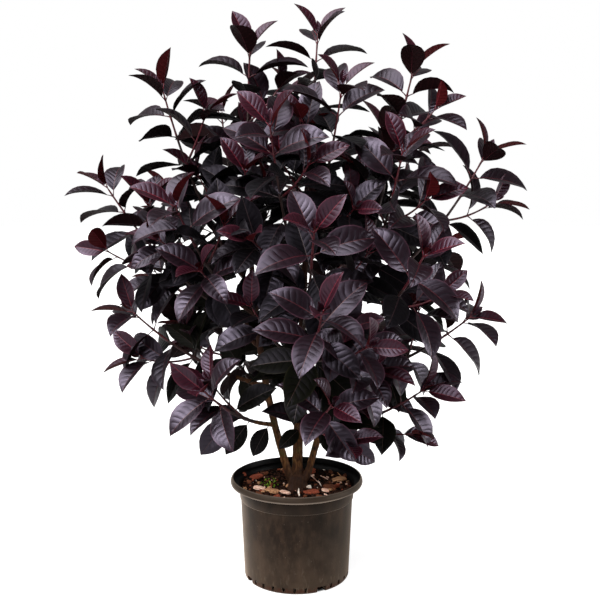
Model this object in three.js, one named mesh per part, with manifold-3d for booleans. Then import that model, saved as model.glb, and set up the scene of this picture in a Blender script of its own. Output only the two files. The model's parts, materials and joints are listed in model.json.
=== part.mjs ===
// A potted lilly pilly: a bushy, dark-leaved shrub on three stems, in a round nursery pot.
// Millimetres, +Z up, and the origin is the centre of the pot's flat underside.
// Bearings are degrees anticlockwise from +X seen from above, so 270 is the front (-Y).
import * as THREE from "three";
import { mergeVertices } from "three/addons/utils/BufferGeometryUtils.js";
import Module from "manifold-3d";

const wasm = await Module();
wasm.setup();

// Clearance between pieces that touch
const gap = 0.3;

// The pot: a thin moulded shell with a rolled lip, a stacking ridge and a rounded foot
const pot = {
  height: 158,
  rimRadius: 102,
  mouthRadius: 95,
  lipHeight: 11,
  lipRounding: 3,
  collarRadius: 89,
  ridgeHeight: 127,
  ridgeStep: 1.4,
  footRadius: 76,
  footRounding: 5,
  wall: 2.2,
  sides: 32,
};

// Drainage cut through the foot: wide notches with a run of narrow slots between them
const drainage = {
  notches: 4,
  firstNotch: 298,
  notchWidth: 14,
  notchHeight: 6,
  slots: 6,
  slotPitch: 12,
  slotWidth: 3,
  slotHeight: 9,
  depth: 30,
};

// The potting mix fills the pot to this level, and chips of bark lie flat on it
const mixLevel = 141;
const chipThickness = 4;
const chips = [
  { bearing: 150, out: 73, length: 25, width: 12, turn: 8 },
  { bearing: 193, out: 60, length: 18, width: 10, turn: 160 },
  { bearing: 220, out: 47, length: 22, width: 12, turn: 165 },
  { bearing: 303, out: 41, length: 24, width: 14, turn: 5 },
  { bearing: 348, out: 52, length: 22, width: 14, turn: 130 },
  { bearing: 21, out: 70, length: 28, width: 14, turn: 20 },
  { bearing: 104, out: 70, length: 22, width: 12, turn: 60 },
];

// The trunk: a short flared stump, given by its radius at heights above the mix and swollen a little
// under each of the three necks that grow out of it
const stump = {
  profile: [
    [17, 0],
    [15.5, 3],
    [13, 12],
    [10, 19],
    [0, 21],
  ],
  lobes: 3,
  lobeDepth: 0.1,
  sides: 12,
};
const neck = { footHeight: 6, footSpread: 0.35, footSwell: 1.2, straight: 14, steps: 2, topHeight: 172 };

// Each stem leaves its neck at the top and bends by way of its elbow to the tip of its leading shoot.
// It is bare wood up to its foliage height, and the leading shoot carries on from there.
const stems = {
  left: {
    neck: [-15, -2],
    elbow: [-88, 0, 402],
    radius: 5.4,
    foliage: 520,
    leader: "top_left",
    tip: { bearing: 164, reach: 71, height: 806 },
  },
  middle: {
    neck: [1, 3],
    elbow: [8, 14, 450],
    radius: 7,
    foliage: 560,
    leader: "top_back",
    tip: { bearing: 62, reach: 68, height: 830 },
  },
  right: {
    neck: [20, -1],
    elbow: [75, -5, 380],
    radius: 5,
    foliage: 520,
    leader: "top_right",
    tip: { bearing: 0, reach: 171, height: 775 },
  },
};

// The side masses: the stem each grows from and the height where it leaves it, the length of its bare
// bough (0 where its foliage starts at the stem), and the tip of its leading shoot
const masses = {
  upper_left: { stem: "left", leaves: 450, bough: 60, bearing: 174, reach: 200, height: 747 },
  upper_back_left: { stem: "left", leaves: 480, bough: 0, bearing: 132, reach: 180, height: 715 },
  far_left: { stem: "left", leaves: 390, bough: 80, bearing: 182, reach: 280, height: 604 },
  front_left: { stem: "left", leaves: 410, bough: 60, bearing: 218, reach: 209, height: 583 },
  back_left: { stem: "left", leaves: 360, bough: 70, bearing: 142, reach: 265, height: 540 },
  low_left: { stem: "left", leaves: 300, bough: 75, bearing: 187, reach: 246, height: 422 },
  low_back_left: { stem: "left", leaves: 275, bough: 70, bearing: 128, reach: 240, height: 390 },
  skirt_left: { stem: "left", leaves: 240, bough: 60, bearing: 226, reach: 185, height: 325 },
  top_front: { stem: "middle", leaves: 520, bough: 0, bearing: 305, reach: 110, height: 744 },
  upper_front: { stem: "middle", leaves: 450, bough: 55, bearing: 257, reach: 154, height: 690 },
  upper_back: { stem: "middle", leaves: 480, bough: 0, bearing: 93, reach: 160, height: 745 },
  front: { stem: "middle", leaves: 380, bough: 70, bearing: 276, reach: 221, height: 555 },
  back: { stem: "middle", leaves: 390, bough: 80, bearing: 86, reach: 272, height: 565 },
  low_front: { stem: "middle", leaves: 310, bough: 80, bearing: 277, reach: 265, height: 456 },
  low_back: { stem: "middle", leaves: 260, bough: 70, bearing: 95, reach: 228, height: 350 },
  skirt_front: { stem: "middle", leaves: 235, bough: 60, bearing: 283, reach: 207, height: 323 },
  upper_right: { stem: "right", leaves: 430, bough: 70, bearing: 0, reach: 280, height: 653 },
  upper_front_right: { stem: "right", leaves: 450, bough: 50, bearing: 318, reach: 193, height: 656 },
  upper_back_right: { stem: "right", leaves: 470, bough: 0, bearing: 47, reach: 205, height: 690 },
  front_right: { stem: "right", leaves: 370, bough: 70, bearing: 312, reach: 251, height: 521 },
  back_right: { stem: "right", leaves: 370, bough: 75, bearing: 30, reach: 275, height: 505 },
  low_right: { stem: "right", leaves: 305, bough: 75, bearing: 356, reach: 262, height: 412 },
  low_back_right: { stem: "right", leaves: 280, bough: 70, bearing: 52, reach: 240, height: 385 },
  skirt_right: { stem: "right", leaves: 235, bough: 60, bearing: 334, reach: 204, height: 317 },
};

// A side branch bends at a point this share of the way out from stem to tip, and this share of the way up
const bend = { out: 0.55, up: 0.25 };
const stemShape = { tip: 3.8, sides: 8, steps: 5 };
const boughShape = { foot: 3.8, tip: 3, sides: 6, steps: 2 };
const leadingTwig = { foot: 3.2, tip: 2.2, sides: 3, steps: 3 };
const sideTwig = { foot: 2.4, tip: 2, sides: 3, steps: 2 };

// No foliage hangs lower than this, and each mass stays half the margin inside its own space
const hangHeight = 188;
const spaceMargin = 2;
const axisSteps = 6;
const crownRadius = 335;

// The growth rule: crossed pairs of leaves all along a shoot, closer together towards its tip, and side
// shoots from some of the axils. The first of the tries that fits its mass's own space is kept.
const growth = {
  seed: 7,
  tipBare: 3,
  internode: 46,
  tipInternodes: [0, 20, 34],
  turnJitter: 16,
  sideShoots: 3,
  sideFrom: 0.25,
  sideShare: 0.75,
  sideReach: 150,
  sideAngle: 50,
  sideBare: 0.2,
  lift: 0.4,
  twigTries: [1, 0.8, 0.6, 0.45],
  leafTries: [
    { lean: 1, size: 1, turn: 0 },
    { lean: 0.8, size: 0.95, turn: 25 },
    { lean: 0.8, size: 0.95, turn: -25 },
    { lean: 1.15, size: 0.9, turn: 0 },
    { lean: 0.9, size: 0.8, turn: 40 },
    { lean: 0.9, size: 0.8, turn: -40 },
    { lean: 0.6, size: 0.7, turn: 0 },
  ],
};

// A leaf: a pointed oval, arched along its rib and folded a little, its foot sunk into the twig. Its rib
// looks partly along the shoot, partly up and partly out of the crown. It is larger than in life (85 long).
const leaf = {
  length: 104,
  halfWidth: 0.21,
  thickness: 0.026,
  arch: 0.75,
  fold: 0.2,
  sag: 0.3,
  outwardFacing: 1.3,
};

// Its corners: share of the length, side of the rib, and above or below it
const leafOutline = [
  [-0.008, 0, 0],
  [0.32, 0.95, 0],
  [0.68, 0.85, 0],
  [1, 0, 0],
  [0.68, -0.85, 0],
  [0.32, -0.95, 0],
];
const leafRib = [
  [0.2, 0, 1],
  [0.2, 0, -1],
];

// From the tip back: each pair's share of full length, and its angle from the shoot
const ages = [
  { size: 0.55, spread: 20 },
  { size: 0.8, spread: 40 },
  { size: 0.97, spread: 60 },
  { size: 1, spread: 74 },
];

const finishes = {
  pot: new THREE.MeshStandardMaterial({ color: 0x3d3733, roughness: 0.55, metalness: 0 }),
  mix: new THREE.MeshStandardMaterial({ color: 0x1d1714, roughness: 0.95, metalness: 0 }),
  chip: new THREE.MeshStandardMaterial({ color: 0x9c6a50, roughness: 0.85, metalness: 0 }),
  bark: new THREE.MeshStandardMaterial({ color: 0x5a3a26, roughness: 0.8, metalness: 0 }),
  foliage: new THREE.MeshStandardMaterial({ color: 0x3a2a36, roughness: 0.4, metalness: 0 }),
};

const { lerp, mapLinear, degToRad } = THREE.MathUtils;
const up = new THREE.Vector3(0, 0, 1);

// Numbers from 0 to 1 that are the same on every run
function seeded(seed) {
  let state = seed;
  return () => {
    state = (state * 1664525 + 1013904223) % 4294967296;
    return state / 4294967296;
  };
}

function atBearing(bearing, reach, height) {
  const angle = degToRad(bearing);
  return new THREE.Vector3(reach * Math.cos(angle), reach * Math.sin(angle), height);
}

// A closed three.js geometry as a solid that can be joined and cut
function solidFrom(geometry) {
  const bare = geometry.clone();
  bare.deleteAttribute("normal");
  bare.deleteAttribute("uv");
  const merged = mergeVertices(bare, 1e-4);
  return new wasm.Manifold(
    new wasm.Mesh({
      numProp: 3,
      vertProperties: merged.attributes.position.array,
      triVerts: new Uint32Array(merged.index.array),
    }),
  );
}

function geometryFrom(solid) {
  const { vertProperties, triVerts } = solid.getMesh();
  const geometry = new THREE.BufferGeometry();
  geometry.setAttribute("position", new THREE.BufferAttribute(vertProperties, 3));
  geometry.setIndex(new THREE.BufferAttribute(triVerts, 1));
  return geometry;
}

// A profile of [radius, height] points turned about the vertical
function turned(profile, sides) {
  const points = profile.map(([radius, height]) => new THREE.Vector2(radius, height));
  return new THREE.LatheGeometry(points, sides).rotateX(Math.PI / 2);
}

// The direction square to the plane that a curve bends in
function bendNormal({ v0, v1, v2 }) {
  const normal = new THREE.Vector3().subVectors(v1, v0).cross(new THREE.Vector3().subVectors(v2, v0));
  return normal.lengthSq() > 1 ? normal.normalize() : new THREE.Vector3(0, 1, 0);
}

// A round tapering limb: a cylinder bent along a curve, from share `from` to share `to` of its length
function limb(curve, { from = 0, to = 1, foot, tip, sides, steps, swell = 0 }) {
  const geometry = new THREE.CylinderGeometry(1, 1, 1, sides, steps);
  const place = geometry.attributes.position;
  const across = bendNormal(curve);
  for (let i = 0; i < place.count; i++) {
    const share = place.getY(i) + 0.5;
    const radius = lerp(foot, tip, share) + swell;
    const at = lerp(from, to, share);
    const upright = new THREE.Vector3().crossVectors(curve.getTangentAt(at), across);
    const point = curve.getPointAt(at);
    point.addScaledVector(across, place.getX(i) * radius).addScaledVector(upright, -place.getZ(i) * radius);
    place.setXYZ(i, point.x, point.y, point.z);
  }
  return solidFrom(geometry);
}

// The share of a rising curve's length at which it reaches a height
function shareAtHeight(curve, height) {
  let low = 0;
  let high = 1;
  while (high - low > 1e-6) {
    const middle = (low + high) / 2;
    if (curve.getPointAt(middle).z < height) low = middle;
    else high = middle;
  }
  return low;
}

// The pot's shell, turned from its wall's profile, with the drainage cut through its foot
function makePot() {
  const { height, rimRadius, mouthRadius, lipRounding, collarRadius, footRadius, footRounding, wall } = pot;
  const lipFoot = height - pot.lipHeight;
  const { ridgeHeight, ridgeStep } = pot;
  const ridgeRadius = collarRadius - ridgeStep;
  const outside = [
    [0, 0],
    [footRadius, 0],
    [footRadius + footRounding, footRounding],
    [ridgeRadius - ridgeStep, ridgeHeight - ridgeStep],
    [ridgeRadius, ridgeHeight],
    [collarRadius, lipFoot],
    [rimRadius, lipFoot + lipRounding],
    [rimRadius - lipRounding, height],
  ];
  const inside = [
    [mouthRadius, height],
    [mouthRadius - wall, height - lipRounding],
    [collarRadius - wall, lipFoot - wall],
    [footRadius + footRounding - wall, footRounding + wall],
    [footRadius - wall, wall],
    [0, wall],
  ];
  const shell = solidFrom(turned([...outside, ...inside], pot.sides));
  return shell.subtract(wasm.Manifold.union(drainageCuts()));
}

function drainageCuts() {
  const footEdge = pot.footRadius + pot.footRounding;
  const cut = (bearing, width, height) =>
    solidFrom(
      new THREE.BoxGeometry(drainage.depth, width, 2 * height)
        .translate(footEdge, 0, 0)
        .rotateZ(degToRad(bearing)),
    );
  const cuts = [];
  for (let n = 0; n < drainage.notches; n++) {
    const bearing = drainage.firstNotch + (360 / drainage.notches) * n;
    cuts.push(cut(bearing, drainage.notchWidth, drainage.notchHeight));
    for (let s = 1; s <= drainage.slots; s++)
      cuts.push(cut(bearing + s * drainage.slotPitch, drainage.slotWidth, drainage.slotHeight));
  }
  return cuts;
}

// The filling, a little inside the pot's sloping wall
function mixGeometry() {
  const { footRadius, footRounding, collarRadius, height, lipHeight, wall, sides } = pot;
  const inset = wall + 2 * gap;
  const wallTop = height - lipHeight;
  const outer = mapLinear(mixLevel, footRounding, wallTop, footRadius + footRounding, collarRadius);
  const profile = [
    [0, wall + gap],
    [footRadius - inset - footRounding, wall + gap],
    [outer - inset, mixLevel],
    [0, mixLevel],
  ];
  return turned(profile, sides);
}

// One chip of bark: an uneven slab with slanting edges
function chipGeometry({ length, width }, rand) {
  const corners = 6;
  const outline = Array.from({ length: corners }, (_, i) => {
    const angle = ((i + 0.35 * rand()) / corners) * 2 * Math.PI;
    return new THREE.Vector2((length / 2) * Math.cos(angle), (width / 2) * Math.sin(angle));
  });
  const slant = chipThickness / 4;
  return new THREE.ExtrudeGeometry(new THREE.Shape(outline), {
    depth: chipThickness - 2 * slant,
    bevelThickness: slant,
    bevelSize: slant,
    bevelSegments: 1,
  }).translate(0, 0, slant);
}

// The flared stump and the three short necks that rise out of it, in one solid
function makeTrunk() {
  const ground = mixLevel + gap;
  const profile = [[0, 0], ...stump.profile].map(([radius, height]) => [radius, ground + height]);
  const flare = turned(profile, stump.sides);
  const place = flare.attributes.position;
  for (let i = 0; i < place.count; i++) {
    const bearing = Math.atan2(place.getY(i), place.getX(i));
    const swell = 1 + stump.lobeDepth * Math.cos(stump.lobes * bearing);
    place.setXY(i, place.getX(i) * swell, place.getY(i) * swell);
  }
  const { footSwell, steps } = neck;
  const necks = Object.entries(stems).map(([name, { radius }]) =>
    limb(neckCurve(name), { foot: radius * footSwell, tip: radius, sides: stemShape.sides, steps }),
  );
  return wasm.Manifold.union([solidFrom(flare), ...necks]);
}

function neckTop(name) {
  const [x, y] = stems[name].neck;
  return new THREE.Vector3(x, y, neck.topHeight);
}

// From inside the stump to the fork, arriving in line with the stem
function neckCurve(name) {
  const end = neckTop(name);
  const start = end.clone().multiplyScalar(neck.footSpread).setZ(mixLevel + neck.footHeight);
  const below = end.clone().addScaledVector(stemCurve(name).getTangentAt(0), -neck.straight);
  return new THREE.QuadraticBezierCurve3(start, below, end);
}

function stemCurve(name) {
  const { elbow, tip } = stems[name];
  return new THREE.QuadraticBezierCurve3(
    neckTop(name),
    new THREE.Vector3(...elbow),
    atBearing(tip.bearing, tip.reach, tip.height),
  );
}

// From the stem, out and then up to the tip of the mass's leading shoot
function branchCurve({ stem, leaves, bearing, reach, height }) {
  const parent = stemCurve(stem);
  const start = parent.getPointAt(shareAtHeight(parent, leaves));
  const end = atBearing(bearing, reach, height);
  const elbow = start.clone().lerp(end, bend.out);
  elbow.z = lerp(start.z, end.z, bend.up);
  return new THREE.QuadraticBezierCurve3(start, elbow, end);
}

// The bare stems and boughs, each with the swollen copy that its neighbours keep clear of
function makeWood() {
  const wood = {};
  for (const [name, { radius, foliage }] of Object.entries(stems)) {
    const curve = stemCurve(name);
    const span = { from: gap / curve.getLength(), to: shareAtHeight(curve, foliage) };
    const shape = { ...stemShape, ...span, foot: radius };
    wood["stem_" + name] = { solid: limb(curve, shape), swollen: limb(curve, { ...shape, swell: gap }) };
  }
  for (const [name, mass] of Object.entries(masses)) {
    if (!mass.bough) continue;
    const curve = branchCurve(mass);
    const shape = { ...boughShape, to: mass.bough / curve.getLength() };
    const parent = wood["stem_" + mass.stem].swollen;
    const solid = limb(curve, shape).subtract(parent);
    wood["bough_" + name] = { solid, swollen: limb(curve, { ...shape, swell: gap }) };
  }
  return wood;
}

// The line of each mass's leading shoot, and the share of it where the foliage starts
function leadingShoots() {
  const shoots = {};
  for (const [name, { leader, foliage }] of Object.entries(stems)) {
    const curve = stemCurve(name);
    shoots[leader] = { curve, from: shareAtHeight(curve, foliage) + gap / curve.getLength() };
  }
  for (const [name, mass] of Object.entries(masses)) {
    const curve = branchCurve(mass);
    shoots[name] = { curve, from: mass.bough ? (mass.bough + gap) / curve.getLength() : 0 };
  }
  return shoots;
}

// Each mass keeps to the space that lies nearer to its own leading shoot than to any other.
// The answer tells whether all of some points lie in the space of the mass that is named.
function shareOutSpace(shoots) {
  const axes = {};
  for (const [name, { curve, from }] of Object.entries(shoots)) {
    const stops = Array.from({ length: axisSteps + 1 }, (_, i) => lerp(from, 1, i / axisSteps));
    const points = stops.map((at) => curve.getPointAt(at));
    axes[name] = points.slice(1).map((point, i) => new THREE.Line3(points[i], point));
  }
  const nearest = new THREE.Vector3();
  const toAxis = (name, point) =>
    Math.min(...axes[name].map((part) => part.closestPointToPoint(point, true, nearest).distanceTo(point)));
  const isOwn = (name, point) => {
    const limit = toAxis(name, point) + spaceMargin;
    return Object.keys(axes).every((other) => other === name || toAxis(other, point) > limit);
  };
  return (name, points) => points.every((point) => point.z > hangHeight && isOwn(name, point));
}

// The outline and rib of one leaf, placed by its foot, its direction and the way its upper face looks
function leafCorners(foot, direction, facing, length) {
  const across = new THREE.Vector3().crossVectors(direction, facing);
  const half = (leaf.thickness * length) / 2;
  return [...leafOutline, ...leafRib].map(([share, side, above]) => {
    const turn = leaf.arch * share;
    const edge = side * leaf.halfWidth * length;
    const rise = above * half + Math.abs(edge) * leaf.fold;
    return foot
      .clone()
      .addScaledVector(direction, (length * Math.sin(turn)) / leaf.arch + Math.sin(turn) * rise)
      .addScaledVector(facing, (length * (Math.cos(turn) - 1)) / leaf.arch + Math.cos(turn) * rise)
      .addScaledVector(across, edge);
  });
}

// A thin closed leaf: its outline fanned to the rib on the upper face and again on the under face
function leafSolid(corners) {
  const count = leafOutline.length;
  const [ribTop, ribUnder] = [count, count + 1];
  const faces = leafOutline.flatMap((_, i) => {
    const next = (i + 1) % count;
    return [i, next, ribTop, next, i, ribUnder];
  });
  return solidFrom(new THREE.BufferGeometry().setFromPoints(corners).setIndex(faces));
}

// The joints of a shoot, from its tip back: where each stands, and which way its leaves point
function shootJoints(curve, from, rand) {
  const length = curve.getLength();
  const firstTurn = rand() * 180;
  const joints = [];
  let back = growth.tipBare;
  while (back < length * (1 - from) - 2 * leadingTwig.foot) {
    const at = 1 - back / length;
    const along = curve.getTangentAt(at);
    const turn = degToRad(firstTurn + 90 * joints.length + growth.turnJitter * (rand() - 0.5));
    const side = new THREE.Vector3().crossVectors(along, up).normalize().applyAxisAngle(along, turn);
    joints.push({ foot: curve.getPointAt(at), along, side, back });
    back += growth.tipInternodes[joints.length] ?? growth.internode;
  }
  return joints;
}

// The first try at a leaf that its surroundings allow, or null
function growLeaf({ foot, along, side }, age, allows) {
  const { size, spread } = ages[Math.min(age, ages.length - 1)];
  for (const attempt of growth.leafTries) {
    const angle = degToRad(spread * attempt.lean);
    const outer = side.clone().applyAxisAngle(along, degToRad(attempt.turn));
    const direction = along.clone().multiplyScalar(Math.cos(angle)).addScaledVector(outer, Math.sin(angle));
    direction.z -= leaf.sag * Math.min(1, age / ages.length);
    direction.normalize();
    const outward = new THREE.Vector3(foot.x, foot.y, 0).divideScalar(crownRadius);
    const facing = along.clone().add(up).addScaledVector(outward, leaf.outwardFacing);
    facing.addScaledVector(direction, -facing.dot(direction)).normalize();
    const corners = leafCorners(foot, direction, facing, leaf.length * size * attempt.size);
    const solid = leafSolid(corners);
    if (allows(corners, solid)) return solid;
  }
  return null;
}

// The line of a side shoot from one joint of its leader, shorter in each try, or null
function sideLine({ foot, along, side, back }, allows) {
  const axis = new THREE.Vector3().crossVectors(along, side).normalize();
  const away = along.clone().applyAxisAngle(axis, degToRad(growth.sideAngle));
  const onward = away.clone().lerp(up, growth.lift).normalize();
  for (const share of growth.twigTries) {
    const length = Math.min(back * growth.sideShare, growth.sideReach) * share;
    const elbow = foot.clone().addScaledVector(away, length / 2);
    const end = elbow.clone().addScaledVector(onward, length / 2);
    const curve = new THREE.QuadraticBezierCurve3(foot, elbow, end);
    if (allows([curve.getPointAt(0.5), end], limb(curve, sideTwig))) return curve;
  }
  return null;
}

// Twigs and leaves of one mass, by the growth rule, from its leading shoot out
function growMass({ curve, from }, seed, wood, isInSpace) {
  const rand = seeded(seed);
  const isClear = (points, solid) => isInSpace(points) && solid.intersect(wood).isEmpty();
  const twigs = [limb(curve, { ...leadingTwig, from }).subtract(wood)];
  const leaves = [];
  const hasRoom = (points, solid) =>
    isClear(points, solid) && leaves.every((other) => solid.intersect(other).isEmpty());

  const leafOut = (joints) => {
    const before = leaves.length;
    joints.forEach((joint, age) => {
      for (const side of [joint.side, joint.side.clone().negate()]) {
        const grown = growLeaf({ ...joint, side }, age, hasRoom);
        if (grown) leaves.push(grown);
      }
    });
    return leaves.length > before;
  };

  const joints = shootJoints(curve, from, rand);
  leafOut(joints);
  const axils = joints.slice(Math.ceil(joints.length * growth.sideFrom));
  for (let i = 0; i < growth.sideShoots && i < axils.length; i++) {
    const joint = axils[Math.floor(((i + rand()) * axils.length) / growth.sideShoots)];
    const side = i % 2 ? joint.side.clone().negate() : joint.side;
    const line = sideLine({ ...joint, side }, isClear);
    if (line && leafOut(shootJoints(line, growth.sideBare, rand))) twigs.push(limb(line, sideTwig));
  }
  return largestPart(wasm.Manifold.union([...twigs, ...leaves]));
}

// Leaves out any scrap that the cuts left loose
function largestPart(solid) {
  return solid.decompose().reduce((most, part) => (part.volume() > most.volume() ? part : most));
}

function named(name, geometry, finish) {
  const mesh = new THREE.Mesh(geometry, finishes[finish]);
  mesh.name = name;
  return mesh;
}

function filledPot() {
  const group = new THREE.Group();
  group.add(named("pot", geometryFrom(makePot()), "pot"));
  group.add(named("potting_mix", mixGeometry(), "mix"));
  const rand = seeded(growth.seed);
  chips.forEach((chip, i) => {
    const mesh = named(`bark_chip_${i + 1}`, chipGeometry(chip, rand), "chip");
    mesh.position.copy(atBearing(chip.bearing, chip.out, mixLevel + gap));
    mesh.rotation.z = degToRad(chip.turn);
    group.add(mesh);
  });
  return group;
}

function shrub() {
  const group = new THREE.Group();
  const trunk = makeTrunk();
  const wood = makeWood();
  group.add(named("trunk", geometryFrom(trunk), "bark"));
  for (const [name, { solid }] of Object.entries(wood)) group.add(named(name, geometryFrom(solid), "bark"));

  const keptClear = wasm.Manifold.union([trunk, ...Object.values(wood).map(({ swollen }) => swollen)]);
  const shoots = leadingShoots();
  const isOwnSpace = shareOutSpace(shoots);
  Object.entries(shoots).forEach(([name, shoot], i) => {
    const foliage = growMass(shoot, growth.seed + i, keptClear, (points) => isOwnSpace(name, points));
    group.add(named("foliage_" + name, geometryFrom(foliage), "foliage"));
  });
  return group;
}

const plant = new THREE.Group();
plant.add(filledPot(), shrub());

export default plant;
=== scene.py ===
import json
import math
import random
from itertools import product

import bmesh
import bpy
from mathutils import Matrix, Vector, noise

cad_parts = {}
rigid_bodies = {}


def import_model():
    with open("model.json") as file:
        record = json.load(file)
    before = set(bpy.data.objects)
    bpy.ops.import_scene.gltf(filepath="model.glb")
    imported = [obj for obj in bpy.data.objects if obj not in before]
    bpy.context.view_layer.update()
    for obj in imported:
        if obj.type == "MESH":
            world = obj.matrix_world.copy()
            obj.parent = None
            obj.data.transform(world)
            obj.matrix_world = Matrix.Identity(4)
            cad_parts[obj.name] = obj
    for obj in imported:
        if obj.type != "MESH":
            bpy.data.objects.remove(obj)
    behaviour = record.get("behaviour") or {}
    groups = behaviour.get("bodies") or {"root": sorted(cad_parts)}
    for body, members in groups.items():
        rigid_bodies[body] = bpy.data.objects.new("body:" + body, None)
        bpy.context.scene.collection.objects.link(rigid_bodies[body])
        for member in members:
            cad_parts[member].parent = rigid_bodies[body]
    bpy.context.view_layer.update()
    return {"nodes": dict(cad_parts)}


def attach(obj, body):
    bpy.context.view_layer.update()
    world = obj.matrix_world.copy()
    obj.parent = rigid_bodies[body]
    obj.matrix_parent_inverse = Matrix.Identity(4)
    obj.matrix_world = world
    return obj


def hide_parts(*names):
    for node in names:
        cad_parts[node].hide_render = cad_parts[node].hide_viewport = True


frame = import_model()
scene = bpy.context.scene
mm = 0.001
up = Vector((0, 0, 1))
print("frame loaded,", len(frame["nodes"]), "nodes")

cameraView = {
    "place": (0.0051, -1.4877, 0.6578),
    "tilt": 81.4,  # degrees from straight down
    "lens": 60,
    "sensor": 36,
}

camera = bpy.data.objects.new("camera", bpy.data.cameras.new("camera"))
camera.data.lens = cameraView["lens"]
camera.data.sensor_width = cameraView["sensor"]
camera.location = cameraView["place"]
camera.rotation_euler = (math.radians(cameraView["tilt"]), 0, 0)
scene.collection.objects.link(camera)
scene.camera = camera


# Small tools


def lerp(a, b, share):
    return a + (b - a) * share


def clamp(share):
    return min(1, max(0, share))


# Bearings are degrees anticlockwise from +X seen from above, so 270 is the front
def atBearing(bearing, reach, height):
    angle = math.radians(bearing)
    return Vector((reach * math.cos(angle), reach * math.sin(angle), height))


# sRGB hex to the linear colour that nodes take
def linearColour(hexColour):
    parts = [int(hexColour[i:i + 2], 16) / 255 for i in (1, 3, 5)]
    return [p / 12.92 if p <= 0.04045 else ((p + 0.055) / 1.055) ** 2.4 for p in parts] + [1]


# Gives a node its inputs: a socket is linked, and any other value is set, hex colours as linear ones
def feed(node, inputs):
    for key, value in inputs.items():
        if isinstance(value, bpy.types.NodeSocket):
            node.id_data.links.new(value, node.inputs[key])
        else:
            isColour = isinstance(value, str) and value.startswith("#")
            node.inputs[key].default_value = linearColour(value) if isColour else value


# Adds a node and gives its output, the first in use if none is named. Names in lower case are its settings,
# the rest its inputs. The stops of a ramp are places with a colour or a grey, and the span of a map range is
# what it maps from, two numbers, and to, two more.
def addNode(tree, kind, values=None, output=None):
    node = tree.nodes.new(kind)
    inputs = {}
    for key, value in (values or {}).items():
        if key == "stops":
            ramp = node.color_ramp
            while len(ramp.elements) < len(value):
                ramp.elements.new(0.5)
            for element, (place, shade) in zip(ramp.elements, value):
                element.position = place
                element.color = linearColour(shade) if isinstance(shade, str) else (shade, shade, shade, 1)
        elif key == "span":
            inputs.update(enumerate(value, 1))
        elif isinstance(key, str) and key[0].islower():
            setattr(node, key, value)
        else:
            inputs[key] = value
    feed(node, inputs)
    return node.outputs[output] if output else next((s for s in node.outputs if s.enabled), None)


# A new material with its tree and the place on the object that its patterns follow
def newMaterial(name):
    material = bpy.data.materials.new(name)
    material.use_nodes = True
    return material, material.node_tree, addNode(material.node_tree, "ShaderNodeTexCoord", output="Object")


# Gives the material's shader its inputs
def finishMaterial(material, inputs):
    feed(material.node_tree.nodes["Principled BSDF"], inputs)
    return material


def newMesh(name, points, faces, edges=()):
    mesh = bpy.data.meshes.new(name)
    mesh.from_pydata([tuple(p) for p in points], edges, faces)
    return mesh


# A finished bmesh as a mesh
def meshFrom(shape, name):
    mesh = bpy.data.meshes.new(name)
    shape.to_mesh(mesh)
    shape.free()
    return mesh


def newObject(name, mesh, collection=None):
    thing = bpy.data.objects.new(name, mesh)
    (collection or scene.collection).objects.link(thing)
    return thing


def removeCollection(collection):
    for thing in list(collection.objects):
        bpy.data.objects.remove(thing)
    bpy.data.collections.remove(collection)


# The four-sided faces between rings of corners
def ringFaces(rings):
    for low, high in zip(rings, rings[1:]):
        for i in range(len(low)):
            j = (i + 1) % len(low)
            yield [low[i], low[j], high[j], high[i]]


# A face's corners without those that come twice
def withoutTwins(corners):
    return [c for n, c in enumerate(corners) if c not in corners[:n]]


# A profile of (radius, height) turned about the vertical; a radius of 0 becomes a single point
def turnedMesh(name, profile, sides):
    points, rows = [], []
    for radius, height in profile:
        if radius < 1e-7:
            rows.append([len(points)] * sides)
            points.append((0, 0, height))
        else:
            rows.append(list(range(len(points), len(points) + sides)))
            angles = [2 * math.pi * i / sides for i in range(sides)]
            points += [(radius * math.cos(a), radius * math.sin(a), height) for a in angles]
    return newMesh(name, points, [withoutTwins(corners) for corners in ringFaces(rows)])


def shadeSmooth(mesh, sharpAngle):
    shape = bmesh.new()
    shape.from_mesh(mesh)
    for face in shape.faces:
        face.smooth = True
    for edge in shape.edges:
        edge.smooth = edge.calc_face_angle(0) < math.radians(sharpAngle)
    shape.to_mesh(mesh)
    shape.free()


# The object's mesh with its modifiers worked in, as a plain object of the same name
def bakeModifiers(thing):
    graph = bpy.context.evaluated_depsgraph_get()
    mesh = bpy.data.meshes.new_from_object(
        thing.evaluated_get(graph), preserve_all_data_layers=True, depsgraph=graph
    )
    old = thing.data
    thing.modifiers.clear()
    thing.data = mesh
    mesh.name = thing.name
    if old.users == 0:
        bpy.data.meshes.remove(old)


# A new Geometry Nodes tree with one geometry in, one out, and the named inputs
def newTree(name, inputs):
    tree = bpy.data.node_groups.new(name, "GeometryNodeTree")
    tree.interface.new_socket("Geometry", in_out="INPUT", socket_type="NodeSocketGeometry")
    for socketName, kind in inputs.items():
        tree.interface.new_socket(socketName, in_out="INPUT", socket_type="NodeSocket" + kind)
    tree.interface.new_socket("Geometry", in_out="OUTPUT", socket_type="NodeSocketGeometry")
    return tree, addNode(tree, "NodeGroupInput").node.outputs


# Ends a tree: one material for each value of a whole-number attribute on the faces
def finishTree(tree, geometry, attribute, materials):
    tone = addNode(tree, "GeometryNodeInputNamedAttribute", {"data_type": "INT", "Name": attribute})
    for n, material in enumerate(materials):
        chosen = addNode(tree, "FunctionNodeCompare", {"data_type": "INT", "operation": "EQUAL", 2: tone, 3: n})
        geometry = addNode(tree, "GeometryNodeSetMaterial", {
            "Geometry": geometry, "Selection": chosen, "Material": material,
        })
    addNode(tree, "NodeGroupOutput", {"Geometry": geometry})
    return tree


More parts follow.
